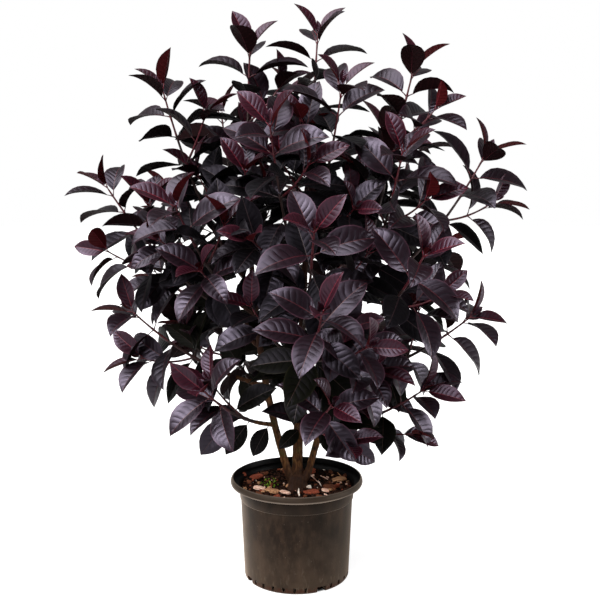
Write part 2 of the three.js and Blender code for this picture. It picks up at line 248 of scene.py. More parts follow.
# Runs a tree on an object, with inputs by the names that the tree gives them, and keeps what it makes
def runTree(thing, tree, inputs):
    modifier = thing.modifiers.new("grow", "NODES")
    modifier.node_group = tree
    for item in tree.interface.items_tree:
        if item.item_type == "SOCKET" and item.in_out == "INPUT" and item.name in inputs:
            modifier[item.identifier] = inputs[item.name]
    bakeModifiers(thing)


def markPoints(mesh, name, kind, values):
    mesh.attributes.new(name, kind, "POINT").data.foreach_set("value", values)


def finishPiece(piece, slot, *nodes):
    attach(piece, "root")
    if nodes:
        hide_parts(*nodes)


# Pot

potSizes = {
    "height": 158 * mm,
    "rim": 102 * mm,  # radii
    "mouth": 97.6 * mm,
    "collar": 89 * mm,
    "foot": 76 * mm,
    "lip": 11 * mm,
    "rolledLip": 3 * mm,
    "ridgeHeight": 127 * mm,
    "ridgeStep": 1.4 * mm,
    "roundedFoot": 5 * mm,
    "wall": 2.2 * mm,
    "sides": 144,
    "outOfRound": 0.5 * mm,
    "sharpEdge": 35,  # degrees
    "notches": 4,
    "firstNotch": 298,  # degrees
    "notch": (15.5 * mm, -10 * mm, 10 * mm, 30 * mm),  # width, lower and upper end, depth
    "slots": 6,  # after each notch
    "slotPitch": 12,  # degrees
    "slot": (4.4 * mm, 2.6 * mm, 10.5 * mm, 16 * mm),
}


# Blow-moulded nursery pot of black polypropylene, weathered: brownish film, pale scuffs, red-brown dirt
# at the foot; painted shade above the ridge and painted highlights along the lip's edges; a dull satin that
# goes pale towards its sides
def potPlastic():
    material, tree, place = newMaterial("weathered black polypropylene")
    height = addNode(tree, "ShaderNodeSeparateXYZ", {0: place}, "Z")
    tall = addNode(tree, "ShaderNodeMapping", {"Vector": place, "Scale": (1, 1, 0.4)})
    streaks = addNode(tree, "ShaderNodeTexNoise", {"Vector": tall, "Scale": 55, "Detail": 7, "Roughness": 0.66})
    film = addNode(tree, "ShaderNodeValToRGB", {
        "stops": [(0.34, "#0b0705"), (0.5, "#17100c"), (0.7, "#32251c")], 0: streaks,
    })
    clouds = addNode(tree, "ShaderNodeTexNoise", {"Vector": place, "Scale": 30, "Detail": 6, "Roughness": 0.6})
    cloudShare = addNode(tree, "ShaderNodeValToRGB", {"stops": [(0.45, 0), (0.8, 0.4)], 0: clouds})
    dots = addNode(tree, "ShaderNodeTexNoise", {"Vector": place, "Scale": 330, "Detail": 2})
    dotShare = addNode(tree, "ShaderNodeValToRGB", {"stops": [(0.71, 0), (0.78, 0.45)], 0: dots})
    low = addNode(tree, "ShaderNodeMapRange", {0: height, "span": (0.01, 0.09, 0.7, 0)})
    dustShare = addNode(tree, "ShaderNodeMath", {"operation": "MULTIPLY", 0: low, 1: clouds})
    trail = addNode(tree, "ShaderNodeTexNoise", {"Vector": tall, "Scale": 190, "Detail": 4, "Distortion": 0.8})
    scratch = addNode(tree, "ShaderNodeValToRGB", {"stops": [(0.56, 0), (0.72, 0.4)], 0: trail})
    scratchShare = addNode(tree, "ShaderNodeMath", {"operation": "MULTIPLY", 0: scratch, 1: low})
    splash = addNode(tree, "ShaderNodeTexNoise", {"Vector": place, "Scale": 210, "Detail": 6, "Roughness": 0.6})
    rising = addNode(tree, "ShaderNodeMapRange", {0: height, "span": (0.004, 0.02, 1.15, 0)})
    dirt = addNode(tree, "ShaderNodeMath", {"operation": "MULTIPLY", 0: rising, 1: splash})
    dirtShare = addNode(tree, "ShaderNodeValToRGB", {"stops": [(0.36, 0), (0.5, 0.9)], 0: dirt})
    # painted shade: a mask over the collar above the ridge, standing in for the shadow under the lip
    above = addNode(tree, "ShaderNodeMapRange", {0: height, "span": (0.1255, 0.129, 0, 0.42)})
    level = addNode(tree, "ShaderNodeVectorMath", {"operation": "MULTIPLY", 0: place, 1: (1, 1, 0)})
    outward = addNode(tree, "ShaderNodeVectorMath", {"operation": "LENGTH", 0: level}, "Value")
    lip = addNode(tree, "ShaderNodeMapRange", {0: outward, "span": (0.096, 0.099, 0, 0.55)})
    upLip = addNode(tree, "ShaderNodeMapRange", {0: height, "span": (0.1465, 0.1585, 0, 1)})
    # painted highlights along the lip's top and lower edges, partly wear
    edges = addNode(tree, "ShaderNodeValToRGB", {
        "stops": [(0.1, 0.2), (0.24, 1), (0.36, 0), (0.88, 0), (0.96, 0.5)], 0: upLip,
    })
    lipEdgeHighlightAndWear = addNode(tree, "ShaderNodeMath", {"operation": "MULTIPLY", 0: edges, 1: lip})
    colour = film
    for share, layer in (
        (cloudShare, "#3c3027"),
        (dotShare, "#6e6258"),  # specks of lime
        (dustShare, "#4d3e32"),  # over the lower half
        (scratchShare, "#64584b"),
        (dirtShare, "#351c13"),  # climbs from the foot in splashes
        (above, "#120c09"),  # painted shade: darker above the ridge, for the shadow under the lip
        (lip, "#362c24"),  # rubbed paler, while its inside stays black
        (lipEdgeHighlightAndWear, "#94867a"),  # painted highlight along the lip's two edges, partly wear rubbed through to grey
    ):
        colour = addNode(tree, "ShaderNodeMix", {"data_type": "RGBA", 0: share, 6: colour, 7: layer})
    rubbed = addNode(tree, "ShaderNodeMapRange", {0: clouds, "span": (0.3, 0.7, 0.34, 0.5)})
    grain = addNode(tree, "ShaderNodeTexNoise", {"Vector": place, "Scale": 700, "Detail": 3})
    bump = addNode(tree, "ShaderNodeBump", {"Strength": 0.25, "Distance": 0.0004, "Height": grain})
    return finishMaterial(material, {
        "Base Color": colour, "Roughness": rubbed, "Normal": bump, "IOR": 1.42, "Specular IOR Level": 0.2,
        "Specular Tint": "#eddccb",
        "Sheen Weight": 1.0, "Sheen Roughness": 0.35, "Sheen Tint": "#c9b29c",  # dust, where the wall turns away
    })


# The same plastic on the wall's inner face and under the lip, painted near black as shade
def potInsideShade():
    material, tree, place = newMaterial("damp black polypropylene")
    stain = addNode(tree, "ShaderNodeTexNoise", {"Vector": place, "Scale": 90, "Detail": 4})
    # painted shade: near-black tones for the inside of the pot
    tint = addNode(tree, "ShaderNodeValToRGB", {"stops": [(0.45, "#020202"), (0.75, "#0b0908")], 0: stain})
    return finishMaterial(material, {
        "Base Color": tint, "Roughness": 0.45, "IOR": 1.45, "Specular IOR Level": 0.1,
    })


# The wall's outline, from the middle of the underside out, up, over the lip and back down inside
def potProfile():
    s = potSizes
    top, rim, mouth, collar, wall, foot = [s[key] for key in ("height", "rim", "mouth", "collar", "wall", "foot")]
    rounding, ridgeStep = s["roundedFoot"], s["ridgeStep"]
    lipFoot = top - s["lip"]
    ridge = collar - ridgeStep
    footEdge = foot + rounding
    inner = footEdge - wall
    quarterTurn = [math.pi / 2 * i / 4 for i in range(5)]
    ridgeFoot = (ridge - ridgeStep, s["ridgeHeight"] - ridgeStep)
    return [
        (0, 0), (foot - 12 * mm, 0), (foot, 0),
        *[(foot + rounding * math.sin(a), rounding * (1 - math.cos(a))) for a in quarterTurn[1:]],
        *[(lerp(footEdge, ridgeFoot[0], t), lerp(rounding, ridgeFoot[1], t)) for t in (0.25, 0.5, 0.75)],
        ridgeFoot, (ridgeFoot[0] + 0.5 * mm, ridgeFoot[1] + 0.2 * mm), (ridge, s["ridgeHeight"]),
        (collar - 0.5 * mm, lipFoot - 6 * mm), (collar + 0.5 * mm, lipFoot - 1.5 * mm),
        (collar + 3 * mm, lipFoot), (rim - 3 * mm, lipFoot + 0.4 * mm),
        # rolled lip: bulging side, rounded top
        (rim - 0.8 * mm, lipFoot + 1.6 * mm), (rim, lipFoot + 4 * mm), (rim - 0.3 * mm, lipFoot + 7 * mm),
        *[
            (rim - s["rolledLip"] * (1.2 - 0.8 * math.cos(a)), top - 2.4 * mm * (1 - math.sin(a)))
            for a in quarterTurn
        ],
        (mouth + 0.3 * mm, top - 0.4 * mm), (mouth, top - 1.4 * mm),
        (mouth - 0.8 * mm, lipFoot + wall + 1 * mm), (mouth - 2 * mm, lipFoot + wall + 0.2 * mm),
        (collar + 1 * mm, lipFoot + wall), (collar - wall, lipFoot - wall),
        *[(lerp(collar - wall, inner, t), lerp(lipFoot - wall, rounding + wall, t)) for t in (0.3, 0.6, 0.9)],
        (inner, rounding + wall), (inner - 3 * mm, wall + 0.6 * mm), (foot - wall, wall), (0, wall),
    ]


# The blocks that cut the drainage through the foot
def drainCutter():
    s = potSizes
    cutter = bmesh.new()
    for n in range(s["notches"]):
        bearing = s["firstNotch"] + 360 / s["notches"] * n
        places = [(bearing, s["notch"])]
        places += [(bearing + s["slotPitch"] * i, s["slot"]) for i in range(1, s["slots"] + 1)]
        for angle, (width, low, high, depth) in places:
            turn = Matrix.Rotation(math.radians(angle), 4, "Z")
            middle = (s["foot"] + s["roundedFoot"], 0, (low + high) / 2)
            block = Matrix.LocRotScale(middle, None, (depth, width, high - low))
            bmesh.ops.create_cube(cutter, size=1, matrix=turn @ block)
    return newObject("drain_cutter", meshFrom(cutter, "drain_cutter"))


def makePot():
    s = potSizes
    pot = newObject("pot_shell", turnedMesh("pot_shell", potProfile(), s["sides"]))
    # a thin pot is never quite round
    for vertex in pot.data.vertices:
        x, y, z = vertex.co
        out = math.hypot(x, y)
        if out > 40 * mm:
            bearing = math.atan2(y, x)
            oval = math.sin(2 * bearing + 0.7) * 0.6 + math.sin(3 * bearing) * 0.4 - 0.6
            swell = s["outOfRound"] * (z / s["height"]) * oval
            vertex.co.x += swell * x / out
            vertex.co.y += swell * y / out
    tool = drainCutter()
    cut = pot.modifiers.new("drain", "BOOLEAN")
    cut.operation = "DIFFERENCE"
    cut.solver = "EXACT"
    cut.object = tool
    bakeModifiers(pot)
    bpy.data.objects.remove(tool)
    shadeSmooth(pot.data, s["sharpEdge"])
    pot.data.materials.clear()
    for material in (potPlastic(), potInsideShade()):
        pot.data.materials.append(material)
    # the wall's inner face and the ledge under the lip take the near-black painted shade
    for face in pot.data.polygons:
        centre = face.center
        out = max(1e-6, math.hypot(centre.x, centre.y))
        inward = -(face.normal.x * centre.x + face.normal.y * centre.y) / out
        isAboveRidge = centre.z > s["ridgeHeight"] and out < s["mouth"] - 0.5 * mm
        onLedge = isAboveRidge and face.normal.z > 0.2
        if centre.z > 10 * mm and (inward > 0.2 or onLedge):
            face.material_index = 1
    finishPiece(pot, "pot", "pot")


makePot()
print("pot made")


# Potting mix and what lies on it

mixSizes = {
    "level": 141 * mm,
    "radius": 86 * mm,
    "foot": 73 * mm,
    "footHeight": 2.9 * mm,
    "rings": 34,
    "sides": 96,
    "relief": 2.6 * mm,
    "edgeRise": 2.5 * mm,  # the mix climbs a little to the wall
    "edgeFrom": 60 * mm,
    "edgeWidth": 25 * mm,
    "sharpEdge": 40,  # degrees
    "crumbs": 520,
    "crumbSeed": 4,
    "crumbReach": 85 * mm,
    "crumbLengths": (8, 6.5, 5, 7, 4, 3),  # of the six shapes, in millimetres
    "crumbScale": (0.5, 1.25),
}


# Composted bark fines: nearly black and matt, with rusty grains of 2-3 mm
def mixSoil():
    material, tree, place = newMaterial("composted bark mix")
    grains = addNode(tree, "ShaderNodeTexVoronoi", {"Vector": place, "Scale": 420}).node.outputs
    shade = addNode(tree, "ShaderNodeSeparateColor", {0: grains["Color"]})
    tint = addNode(tree, "ShaderNodeValToRGB", {
        "stops": [(0.3, "#0a0402"), (0.7, "#190b05"), (0.95, "#3e1e0e")], 0: shade,
    })
    bump = addNode(tree, "ShaderNodeBump", {
        "invert": True, "Strength": 0.8, "Distance": 0.0015, "Height": grains["Distance"],
    })
    return finishMaterial(material, {
        "Base Color": tint, "Roughness": 0.92, "Normal": bump, "IOR": 1.4, "Specular IOR Level": 0.1,
    })


# Pine bark, broken: flaky layers across the chip, matt
def chipBark(name, dark, light):
    material, tree, place = newMaterial(name)
    layers = addNode(tree, "ShaderNodeMapping", {"Vector": place, "Rotation": (0.3, 0.2, 0.6), "Scale": (1, 3, 2)})
    flakes = addNode(tree, "ShaderNodeTexNoise", {"Vector": layers, "Scale": 260, "Detail": 5, "Distortion": 0.6})
    tint = addNode(tree, "ShaderNodeValToRGB", {"stops": [(0.36, dark), (0.6, light)], 0: flakes})
    bump = addNode(tree, "ShaderNodeBump", {"Strength": 0.7, "Distance": 0.0008, "Height": flakes})
    return finishMaterial(material, {
        "Base Color": tint, "Roughness": 0.85, "Normal": bump, "IOR": 1.45, "Specular IOR Level": 0.2,
    })


# By their number; crumbs take all but the last
chipFinishes = [
    chipBark("dark pine bark", "#20130e", "#3e2318"),
    chipBark("brown pine bark", "#3c2014", "#73422b"),
    chipBark("red-brown pine bark", "#552518", "#9c4e37"),
    chipBark("tan pine bark", "#86593d", "#cf9d74"),
    chipBark("pinkish pale bark", "#cc9077", "#ffdcc6"),
    chipBark("bleached wood", "#e0c2ad", "#fdf2e6"),
    chipBark("fresh moss", "#223a0b", "#86b02f"),
]


def mixHeight(x, y):
    coarse = noise.noise(Vector((x * 45, y * 45, 3.1)))
    fine = noise.noise(Vector((x * 170, y * 170, 7.7)))
    edge = clamp((math.hypot(x, y) - mixSizes["edgeFrom"]) / mixSizes["edgeWidth"])
    return mixSizes["level"] + mixSizes["relief"] * (coarse * 0.9 + fine * 0.4) + mixSizes["edgeRise"] * edge


def makeMix():
    s = mixSizes
    profile = [(0, s["footHeight"]), (s["foot"] - 10 * mm, s["footHeight"]), (s["radius"], s["level"] - 6 * mm)]
    profile += [(s["radius"] * (1 - i / s["rings"]), s["level"]) for i in range(s["rings"] + 1)]
    mesh = turnedMesh("mix_surface", profile, s["sides"])
    for vertex in mesh.vertices:
        if vertex.co.z > s["level"] - 1 * mm:
            vertex.co.z = mixHeight(vertex.co.x, vertex.co.y)
    shadeSmooth(mesh, s["sharpEdge"])
    mesh.materials.append(mixSoil())
    mix = newObject("mix_surface", mesh)
    finishPiece(mix, "mix", "potting_mix")
    return mix


# A chip: an uneven slab, thicker in its middle, with broken slanting edges
def chipMesh(name, length, width, thickness, corners, variety):
    points = []
    levels = ((0.9, 0), (1, 0.3), (0.97, 0.75), (0.84, 1))  # share of its outline, and of its thickness
    for share, level in levels:
        for i in range(corners):
            angle = 2 * math.pi * i / corners
            outline = noise.noise(Vector((math.cos(angle) * 1.3, math.sin(angle) * 1.3, variety)))
            rough = share * (0.86 + 0.3 * outline)
            rough *= 1 + 0.42 * noise.noise(Vector((i * 1.7, variety, 0.5)))
            points.append(Vector((
                length / 2 * rough * math.cos(angle),
                width / 2 * rough * math.sin(angle),
                thickness * (level + 0.12 * noise.noise(Vector((i * 0.9, level * 3, variety)))),
            )))
    rings = [list(range(r * corners, (r + 1) * corners)) for r in range(len(levels))]
    top = len(points)
    points.append(sum(points[-corners:], Vector()) / corners + Vector((0, 0, thickness * 0.08)))
    fan = [[rings[-1][i], rings[-1][(i + 1) % corners], top] for i in range(corners)]
    return newMesh(name, points, [rings[0][::-1], *ringFaces(rings), *fan])


# The large chips: bearing, distance out, length, width, turn and finish
largeChips = [
    (150, 73, 25, 12, 8, 2),
    (193, 60, 18, 10, 160, 4),
    (220, 47, 22, 12, 165, 3),
    (303, 41, 24, 14, 5, 2),
    (348, 52, 22, 14, 130, 1),
    (21, 70, 28, 14, 20, 3),
    (104, 70, 22, 12, 60, 1),
]

# The middling chips that the front shows, in millimetres: x, y, length, width, turn, tilt and finish
middlingChips = [
    (-17, -33, 20, 9, 172, 8, 4),
    (19, -6, 9, 6, 20, 15, 5),
    (-84, 36, 15, 10, 70, 12, 2),
    (3, -38, 15, 4, 95, 62, 5),
    (-52, 52, 18, 9, 15, 10, 1),
    (-74, 10, 14, 8, 120, 8, 1),
    (62, -2, 17, 8, 30, 10, 2),
    (44, -22, 14, 8, 150, 6, 4),
    (77, 40, 12, 7, 80, 14, 1),
    (-30, -48, 13, 7, 20, 8, 2),
    (34, -50, 16, 8, 165, 8, 1),
    (-56, -42, 15, 8, 140, 10, 1),
    (24, 60, 17, 9, 10, 8, 2),
    (-20, 74, 15, 8, 30, 8, 3),
    (54, 58, 14, 8, 110, 8, 1),
]

# Straw: the same
strawBits = [
    (30, 22, 32, 1.3, 128, 16, 4),
    (46, 34, 28, 1.2, 142, 12, 4),
    (58, 20, 24, 1.2, 48, 14, 4),
    (36, 8, 18, 1.2, 110, 22, 5),
    (-60, -8, 15, 1.5, 95, 18, 5),
    (68, 46, 22, 1.3, 118, 12, 3),
]
mossSpots = [(-41, 27, 10, 24), (-36, 4, 14, 22), (-56, 12, 9, 10)]  # x, y, radius and number of cushions

chipRule = {  # millimetres and degrees
    "large": 4.6,  # thickness
    "middling": 3.6,
    "straw": 1.2,
    "largeGrowth": 1.2,  # makes up for the broken edges
    "largeTilt": 5,
    "cushion": (0.9, 3.1),  # width
    "cushionTilt": 10,
    "cushionFinish": 6,
    "seed": 3,
    "sunk": 0.4,
    "tiltLift": 0.4,  # share of what a tilted chip's end would sink
    "lowest": 140.6,
    "sharpEdge": 24,
}


# Every chip, bit of straw and cushion of moss: x, y, length, width, turn, tilt, finish and thickness
def chipRows():
    s = chipRule
    rows = []
    for bearing, out, length, width, turn, finish in largeChips:
        x, y = out * math.cos(math.radians(bearing)), out * math.sin(math.radians(bearing))
        growth = s["largeGrowth"]
        rows.append((x, y, length * growth, width * growth, turn, s["largeTilt"], finish, s["large"]))
    rows += [(*row, s["middling"]) for row in middlingChips]
    rows += [(*row, s["straw"]) for row in strawBits]
    rand = random.Random(s["seed"])
    for x, y, radius, count in mossSpots:
        for _ in range(count):
            out, turn, size = radius * rand.random() ** 0.5, rand.uniform(0, 360), rand.uniform(*s["cushion"])
            place = atBearing(turn, out, 0)
            rows.append((
                x + place.x, y + place.y, size, size * 0.8, turn, s["cushionTilt"], s["cushionFinish"], size * 0.7,
            ))
    return rows


def makeChips():
    s = chipRule
    joined = bmesh.new()
    for i, (x, y, length, width, turn, tilt, finish, thick) in enumerate(chipRows()):
        mesh = chipMesh("chip", length * mm, width * mm, thick * mm, 9 if length > 8 else 6, i * 3.7)
        height = mixHeight(x * mm, y * mm) - s["sunk"] * mm
        height += s["tiltLift"] * math.sin(math.radians(tilt)) * length * mm / 2
        place = Matrix.Translation((x * mm, y * mm, max(height, s["lowest"] * mm)))
        place = place @ Matrix.Rotation(math.radians(turn), 4, "Z") @ Matrix.Rotation(math.radians(-tilt), 4, "Y")
        mesh.transform(place)
        before = len(joined.faces)
        joined.from_mesh(mesh)
        joined.faces.ensure_lookup_table()
        for face in joined.faces[before:]:
            face.material_index = finish
        bpy.data.meshes.remove(mesh)
    chips = newObject("bark_chips", meshFrom(joined, "bark_chips"))
    shadeSmooth(chips.data, s["sharpEdge"])
    for material in chipFinishes:
        chips.data.materials.append(material)
    finishPiece(chips, "chips", *[f"bark_chip_{i + 1}" for i in range(len(largeChips))])


# Scatters crumbs over the mix: a random shape of the collection at each point, turned and sized at random
def crumbTree(materials):
    tree, given = newTree("crumb scatter", {
        "Crumbs": "Collection", "Density": "Float", "Smallest": "Float", "Largest": "Float", "Seed": "Int",
    })
    normal = addNode(tree, "GeometryNodeInputNormal")
    rise = addNode(tree, "ShaderNodeSeparateXYZ", {0: normal}, "Z")
    isTop = addNode(tree, "FunctionNodeCompare", {"operation": "GREATER_THAN", 0: rise, 1: 0.6})
    points = addNode(tree, "GeometryNodeDistributePointsOnFaces", {
        "Mesh": given["Geometry"], "Selection": isTop, "Density": given["Density"], "Seed": given["Seed"],
    })
    turn = addNode(tree, "FunctionNodeRandomValue", {
        "data_type": "FLOAT_VECTOR", 0: (-0.5, -0.5, -3.14), 1: (0.5, 0.5, 3.14), "Seed": given["Seed"],
    })
    size = addNode(tree, "FunctionNodeRandomValue", {2: given["Smallest"], 3: given["Largest"], "Seed": 11})
    # most crumbs are dark, a few are pale
    chance = addNode(tree, "FunctionNodeRandomValue", {2: 0.0, 3: 1.0, "Seed": 23})
    curve = addNode(tree, "ShaderNodeMath", {"operation": "POWER", 0: chance, 1: 6.5})
    share = addNode(tree, "ShaderNodeMath", {"operation": "MULTIPLY", 0: curve, 1: len(materials) - 0.01})
    tone = addNode(tree, "ShaderNodeMath", {"operation": "FLOOR", 0: share})
    marked = addNode(tree, "GeometryNodeStoreNamedAttribute", {
        "data_type": "INT", "domain": "POINT", "Geometry": points, "Name": "crumbTone", "Value": tone,
    })
    shapes = addNode(tree, "GeometryNodeCollectionInfo", {
        "Collection": given["Crumbs"], "Separate Children": True, "Reset Children": True,
    })
    placed = addNode(tree, "GeometryNodeInstanceOnPoints", {
        "Points": marked, "Instance": shapes, "Pick Instance": True, "Rotation": turn, "Scale": size,
    })
    real = addNode(tree, "GeometryNodeRealizeInstances", {"Geometry": placed})
    return finishTree(tree, real, "crumbTone", materials)


def makeCrumbs(mix):
    s = mixSizes
    shapes = bpy.data.collections.new("crumb shapes")
    for i, length in enumerate(s["crumbLengths"]):
        size = length * mm
        mesh = chipMesh(f"crumb_{i}", size, size * (0.55 + 0.07 * i), size * 0.34, 6, i * 5.3)
        newObject(f"crumb_{i}", mesh, shapes)
    crumbs = newObject("mix_crumbs", mix.data.copy())
    smallest, largest = s["crumbScale"]
    runTree(crumbs, crumbTree(chipFinishes[:-1]), {
        "Crumbs": shapes, "Density": s["crumbs"] / (math.pi * s["radius"] ** 2), "Smallest": smallest,
        "Largest": largest, "Seed": s["crumbSeed"],
    })
    # crumbs that reach the pot's wall are taken out whole
    shape = bmesh.new()
    shape.from_mesh(crumbs.data)
    queue = [v for v in shape.verts if math.hypot(v.co.x, v.co.y) > s["crumbReach"]]
    linked = set()
    while queue:
        vertex = queue.pop()
        if vertex not in linked:
            linked.add(vertex)
            queue += [edge.other_vert(vertex) for edge in vertex.link_edges]
    bmesh.ops.delete(shape, geom=list(linked), context="VERTS")
    shape.to_mesh(crumbs.data)
    shape.free()
    finishPiece(crumbs, "chips")
    removeCollection(shapes)


mix = makeMix()
makeChips()
makeCrumbs(mix)
print("potting mix made")


# The plant's lines: the source's growth rule, carried to finer twigs

stemPlan = {  # neck, elbow, foot radius, height of the leading shoot's foot, leader's name, tip
    "left": ((-15, -2), (-88, 0, 402), 6, 520, "top_left", (164, 71, 806)),
    "middle": ((1, 3), (8, 14, 450), 8.3, 560, "top_back", (62, 68, 830)),
    "right": ((20, -1), (75, -5, 380), 5.5, 520, "top_right", (0, 171, 775)),
}

massPlan = {  # stem, height where it leaves it, bare bough, bearing, reach and height of its tip
    "upper_left": ("left", 450, 60, 174, 200, 747),
    "upper_back_left": ("left", 480, 0, 132, 180, 715),
    "far_left": ("left", 390, 80, 182, 280, 604),
    "front_left": ("left", 410, 60, 218, 209, 583),
    "back_left": ("left", 360, 70, 142, 265, 540),
    "low_left": ("left", 300, 75, 187, 246, 422),
    "low_back_left": ("left", 275, 70, 128, 240, 390),
    "skirt_left": ("left", 240, 60, 226, 185, 325),
    "top_front": ("middle", 520, 0, 305, 110, 744),
    "upper_front": ("middle", 450, 55, 257, 154, 690),
    "upper_back": ("middle", 480, 0, 93, 160, 745),
    "front": ("middle", 380, 70, 276, 221, 555),
    "back": ("middle", 390, 80, 86, 272, 565),
    "low_front": ("middle", 310, 80, 277, 265, 456),
    "low_back": ("middle", 260, 70, 95, 228, 350),
    "skirt_front": ("middle", 235, 60, 283, 207, 323),
    "upper_right": ("right", 430, 70, 0, 280, 653),
    "upper_front_right": ("right", 450, 50, 318, 193, 656),
    "upper_back_right": ("right", 470, 0, 47, 205, 690),
    "front_right": ("right", 370, 70, 312, 251, 521),
    "back_right": ("right", 370, 75, 30, 275, 505),
    "low_right": ("right", 305, 75, 356, 262, 412),
    "low_back_right": ("right", 280, 70, 52, 240, 385),
    "skirt_right": ("right", 235, 60, 334, 204, 317),
}

woodSizes = {  # millimetres
    "neckTop": 172,
    "neckFoot": 147,
    "neckSpread": 0.35,
    "neckStraight": 14,
    "neckSwell": 1.25,
    "stemTip": 3.8,
    "bough": (3.8, 3.0),  # foot and tip radius
    "stemTwig": 2.8,  # foot radius of a shoot that starts at its stem with no bough
    "bendOut": 0.55,
    "bendUp": 0.25,
    "stump": [(18.5, -4), (17, 0), (15.5, 3), (14, 7), (13, 12), (11.8, 16), (9.5, 19.5), (0, 21.5)],
    "stumpFoot": 5,  # how deep it stands in the mix
    "lobes": 3,
    "lobeDepth": 0.1,
    "stumpSides": 48,
    "sides": {"neck": 20, "stem": 16, "bough": 12},
    "ringStep": 6,
    "voxel": 1.1,
    "relief": 0.55,
    "stumpRelief": 1.6,  # added on the stump, growing over stumpFade down from stumpTop
    "stumpTop": 168,
    "stumpFade": 20,
}

growthRule = {
    "seed": 7,
    "internode": 38,
    "tipInternodes": (0.5, 2.5, 15, 27, 33),
    "internodeJitter": 0.12,
    "turnJitter": 18,  # degrees
    "tipTurn": 30,
    "boughOverlap": 6,  # a leading twig starts this far inside its bough, and its leaves as far outside
    "leaderTip": 1.15,
    "sideShare": 0.72,
    "sideAngle": 50,
    "sideLift": 0.4,
    "sideBare": 14,
    "lowCrown": (420, 260),  # side shoots thin out from this height up, over this distance
    "hangHeight": 197,
    "frontLift": 0.2,
    "twigClearance": 15,
    "parting": (-44, 32),
    "partingBack": 20,
    "partingHeight": 215,
    "hangers": [  # bough, share of its bare part, the leaf's bearing, its size and how steeply it hangs
        ("skirt_left", 1, 200, 0.74, 2.2), ("skirt_left", 0.15, 180, 0.66, 3),
        ("low_back_left", 0.5, 185, 0.66, 2),
        ("skirt_front", 0.55, 190, 0.62, 0.9), ("skirt_front", 0.2, 200, 0.5, 1.2),
        ("skirt_right", 1, 345, 0.6, 1.4), ("skirt_right", 0.5, 350, 0.5, 1.6),
        ("low_back_right", 0.6, 14, 0.7, 2),
    ],
    "hangerAge": 4,
    "hangerLight": 5,
    "hangerFoot": 2.2,  # out from the bough's middle
    "hangerLowest": 181,
    "crownRadii": (335, 315, 360),
    "crownMiddle": 500,
    "leafRoom": 13.5,  # least distance between the middles of two leaves
}

# The orders of side shoots: how far from the tip they start, the chance of one low in the crown and high up,
# its reach and vigour, a share or a range of it, the fewest leaves that it is kept for, and its radii
shootOrders = [
    {"from": 100, "chance": (0.5, 0.28), "reach": 150, "reachShare": (0.75, 1.05), "vigour": (0.86, 1),
     "fewest": 3, "radii": (1.9, 1.0)},
    {"from": 50, "chance": (0.2, 0.2), "reach": 70, "reachShare": 1, "vigour": 0.8,
     "fewest": 1, "radii": (1.3, 0.8)},
]

# From the tip back: each pair's share of full length, its angle from the shoot, and its shape
leafAges = [
    (0.24, 10, "tip"),
    (0.72, 29, "tip"),
    (0.9, 40, "young"),
    (1.0, 51, "young"),
    (0.99, 60, "grown"),
    (0.97, 67, "grown"),
    (0.95, 73, "grown"),
]

# Shares of a leaf's angle and size, and a turn about the shoot
leafTries = [
    (1, 1, 0), (0.85, 0.97, 22), (0.85, 0.97, -22), (1.15, 0.94, 0), (0.9, 0.86, 40), (0.9, 0.86, -40),
    (0.6, 0.8, 0),
]

leafSizes = {
    "length": 86,  # petiole and blade together, millimetres
    "petiole": 0.11,  # share of the length
    "sizeJitter": 0.1,
    "leanJitter": 7,  # degrees
    "roll": 0.32,  # spread of the leaves' turn about their own ribs, radians
    "sag": (0.1, 0.7),  # at the crown's top and at its foot
    "sagSpan": (230, 520),  # the height of the crown's foot, and the distance from there to its top
    "steepest": (0.15, 1.35),  # high up even the lower leaf of a pair bends out
    "droop": 0.38,
    "outwardFacing": 0.7,
    "hangingTurn": 2.2,
    "lightFrom": Vector((-0.06, -0.55, 0)),  # the leaves have turned a little to the light of one side
    "twigRadius": 1.2,
}


# A limb's line: points at even distances along a quadratic curve, in millimetres
def limbLine(start, elbow, end, steps=48):
    fine = [start * (1 - t) ** 2 + elbow * (2 * t * (1 - t)) + end * t * t for t in (i / 240 for i in range(241))]
    distances = [0]
    for a, b in zip(fine, fine[1:]):
        distances.append(distances[-1] + (b - a).length)
    length = distances[-1]
    points, n = [], 0
    for i in range(steps + 1):
        goal = length * i / steps
        while n < len(fine) - 2 and distances[n + 1] < goal:
            n += 1
        points.append(fine[n].lerp(fine[n + 1], (goal - distances[n]) / (distances[n + 1] - distances[n])))
    return {"points": points, "length": length}


def pointAt(line, share):
    place = clamp(share) * (len(line["points"]) - 1)
    n = min(int(place), len(line["points"]) - 2)
    return line["points"][n].lerp(line["points"][n + 1], place - n)


def directionAt(line, share):
    return (pointAt(line, share + 0.02) - pointAt(line, share - 0.02)).normalized()


def shareAtHeight(line, height):
    points = line["points"]
    for n in range(len(points) - 1):
        if points[n + 1].z >= height:
            return (n + (height - points[n].z) / (points[n + 1].z - points[n].z)) / (len(points) - 1)
    return 1


def stemLine(neck, elbow, tip):
    return limbLine(Vector((*neck, woodSizes["neckTop"])), Vector(elbow), atBearing(*tip))


def massLine(stem, height, *tip):
    parent = stemLines[stem]
    start = pointAt(parent, shareAtHeight(parent, height))
    end = atBearing(*tip)
    elbow = start.lerp(end, woodSizes["bendOut"])
    elbow.z = lerp(start.z, end.z, woodSizes["bendUp"])
    return limbLine(start, elbow, end)


stemLines = {name: stemLine(row[0], row[1], row[5]) for name, row in stemPlan.items()}
massLines = {name: massLine(*row[:2], *row[3:]) for name, row in massPlan.items()}


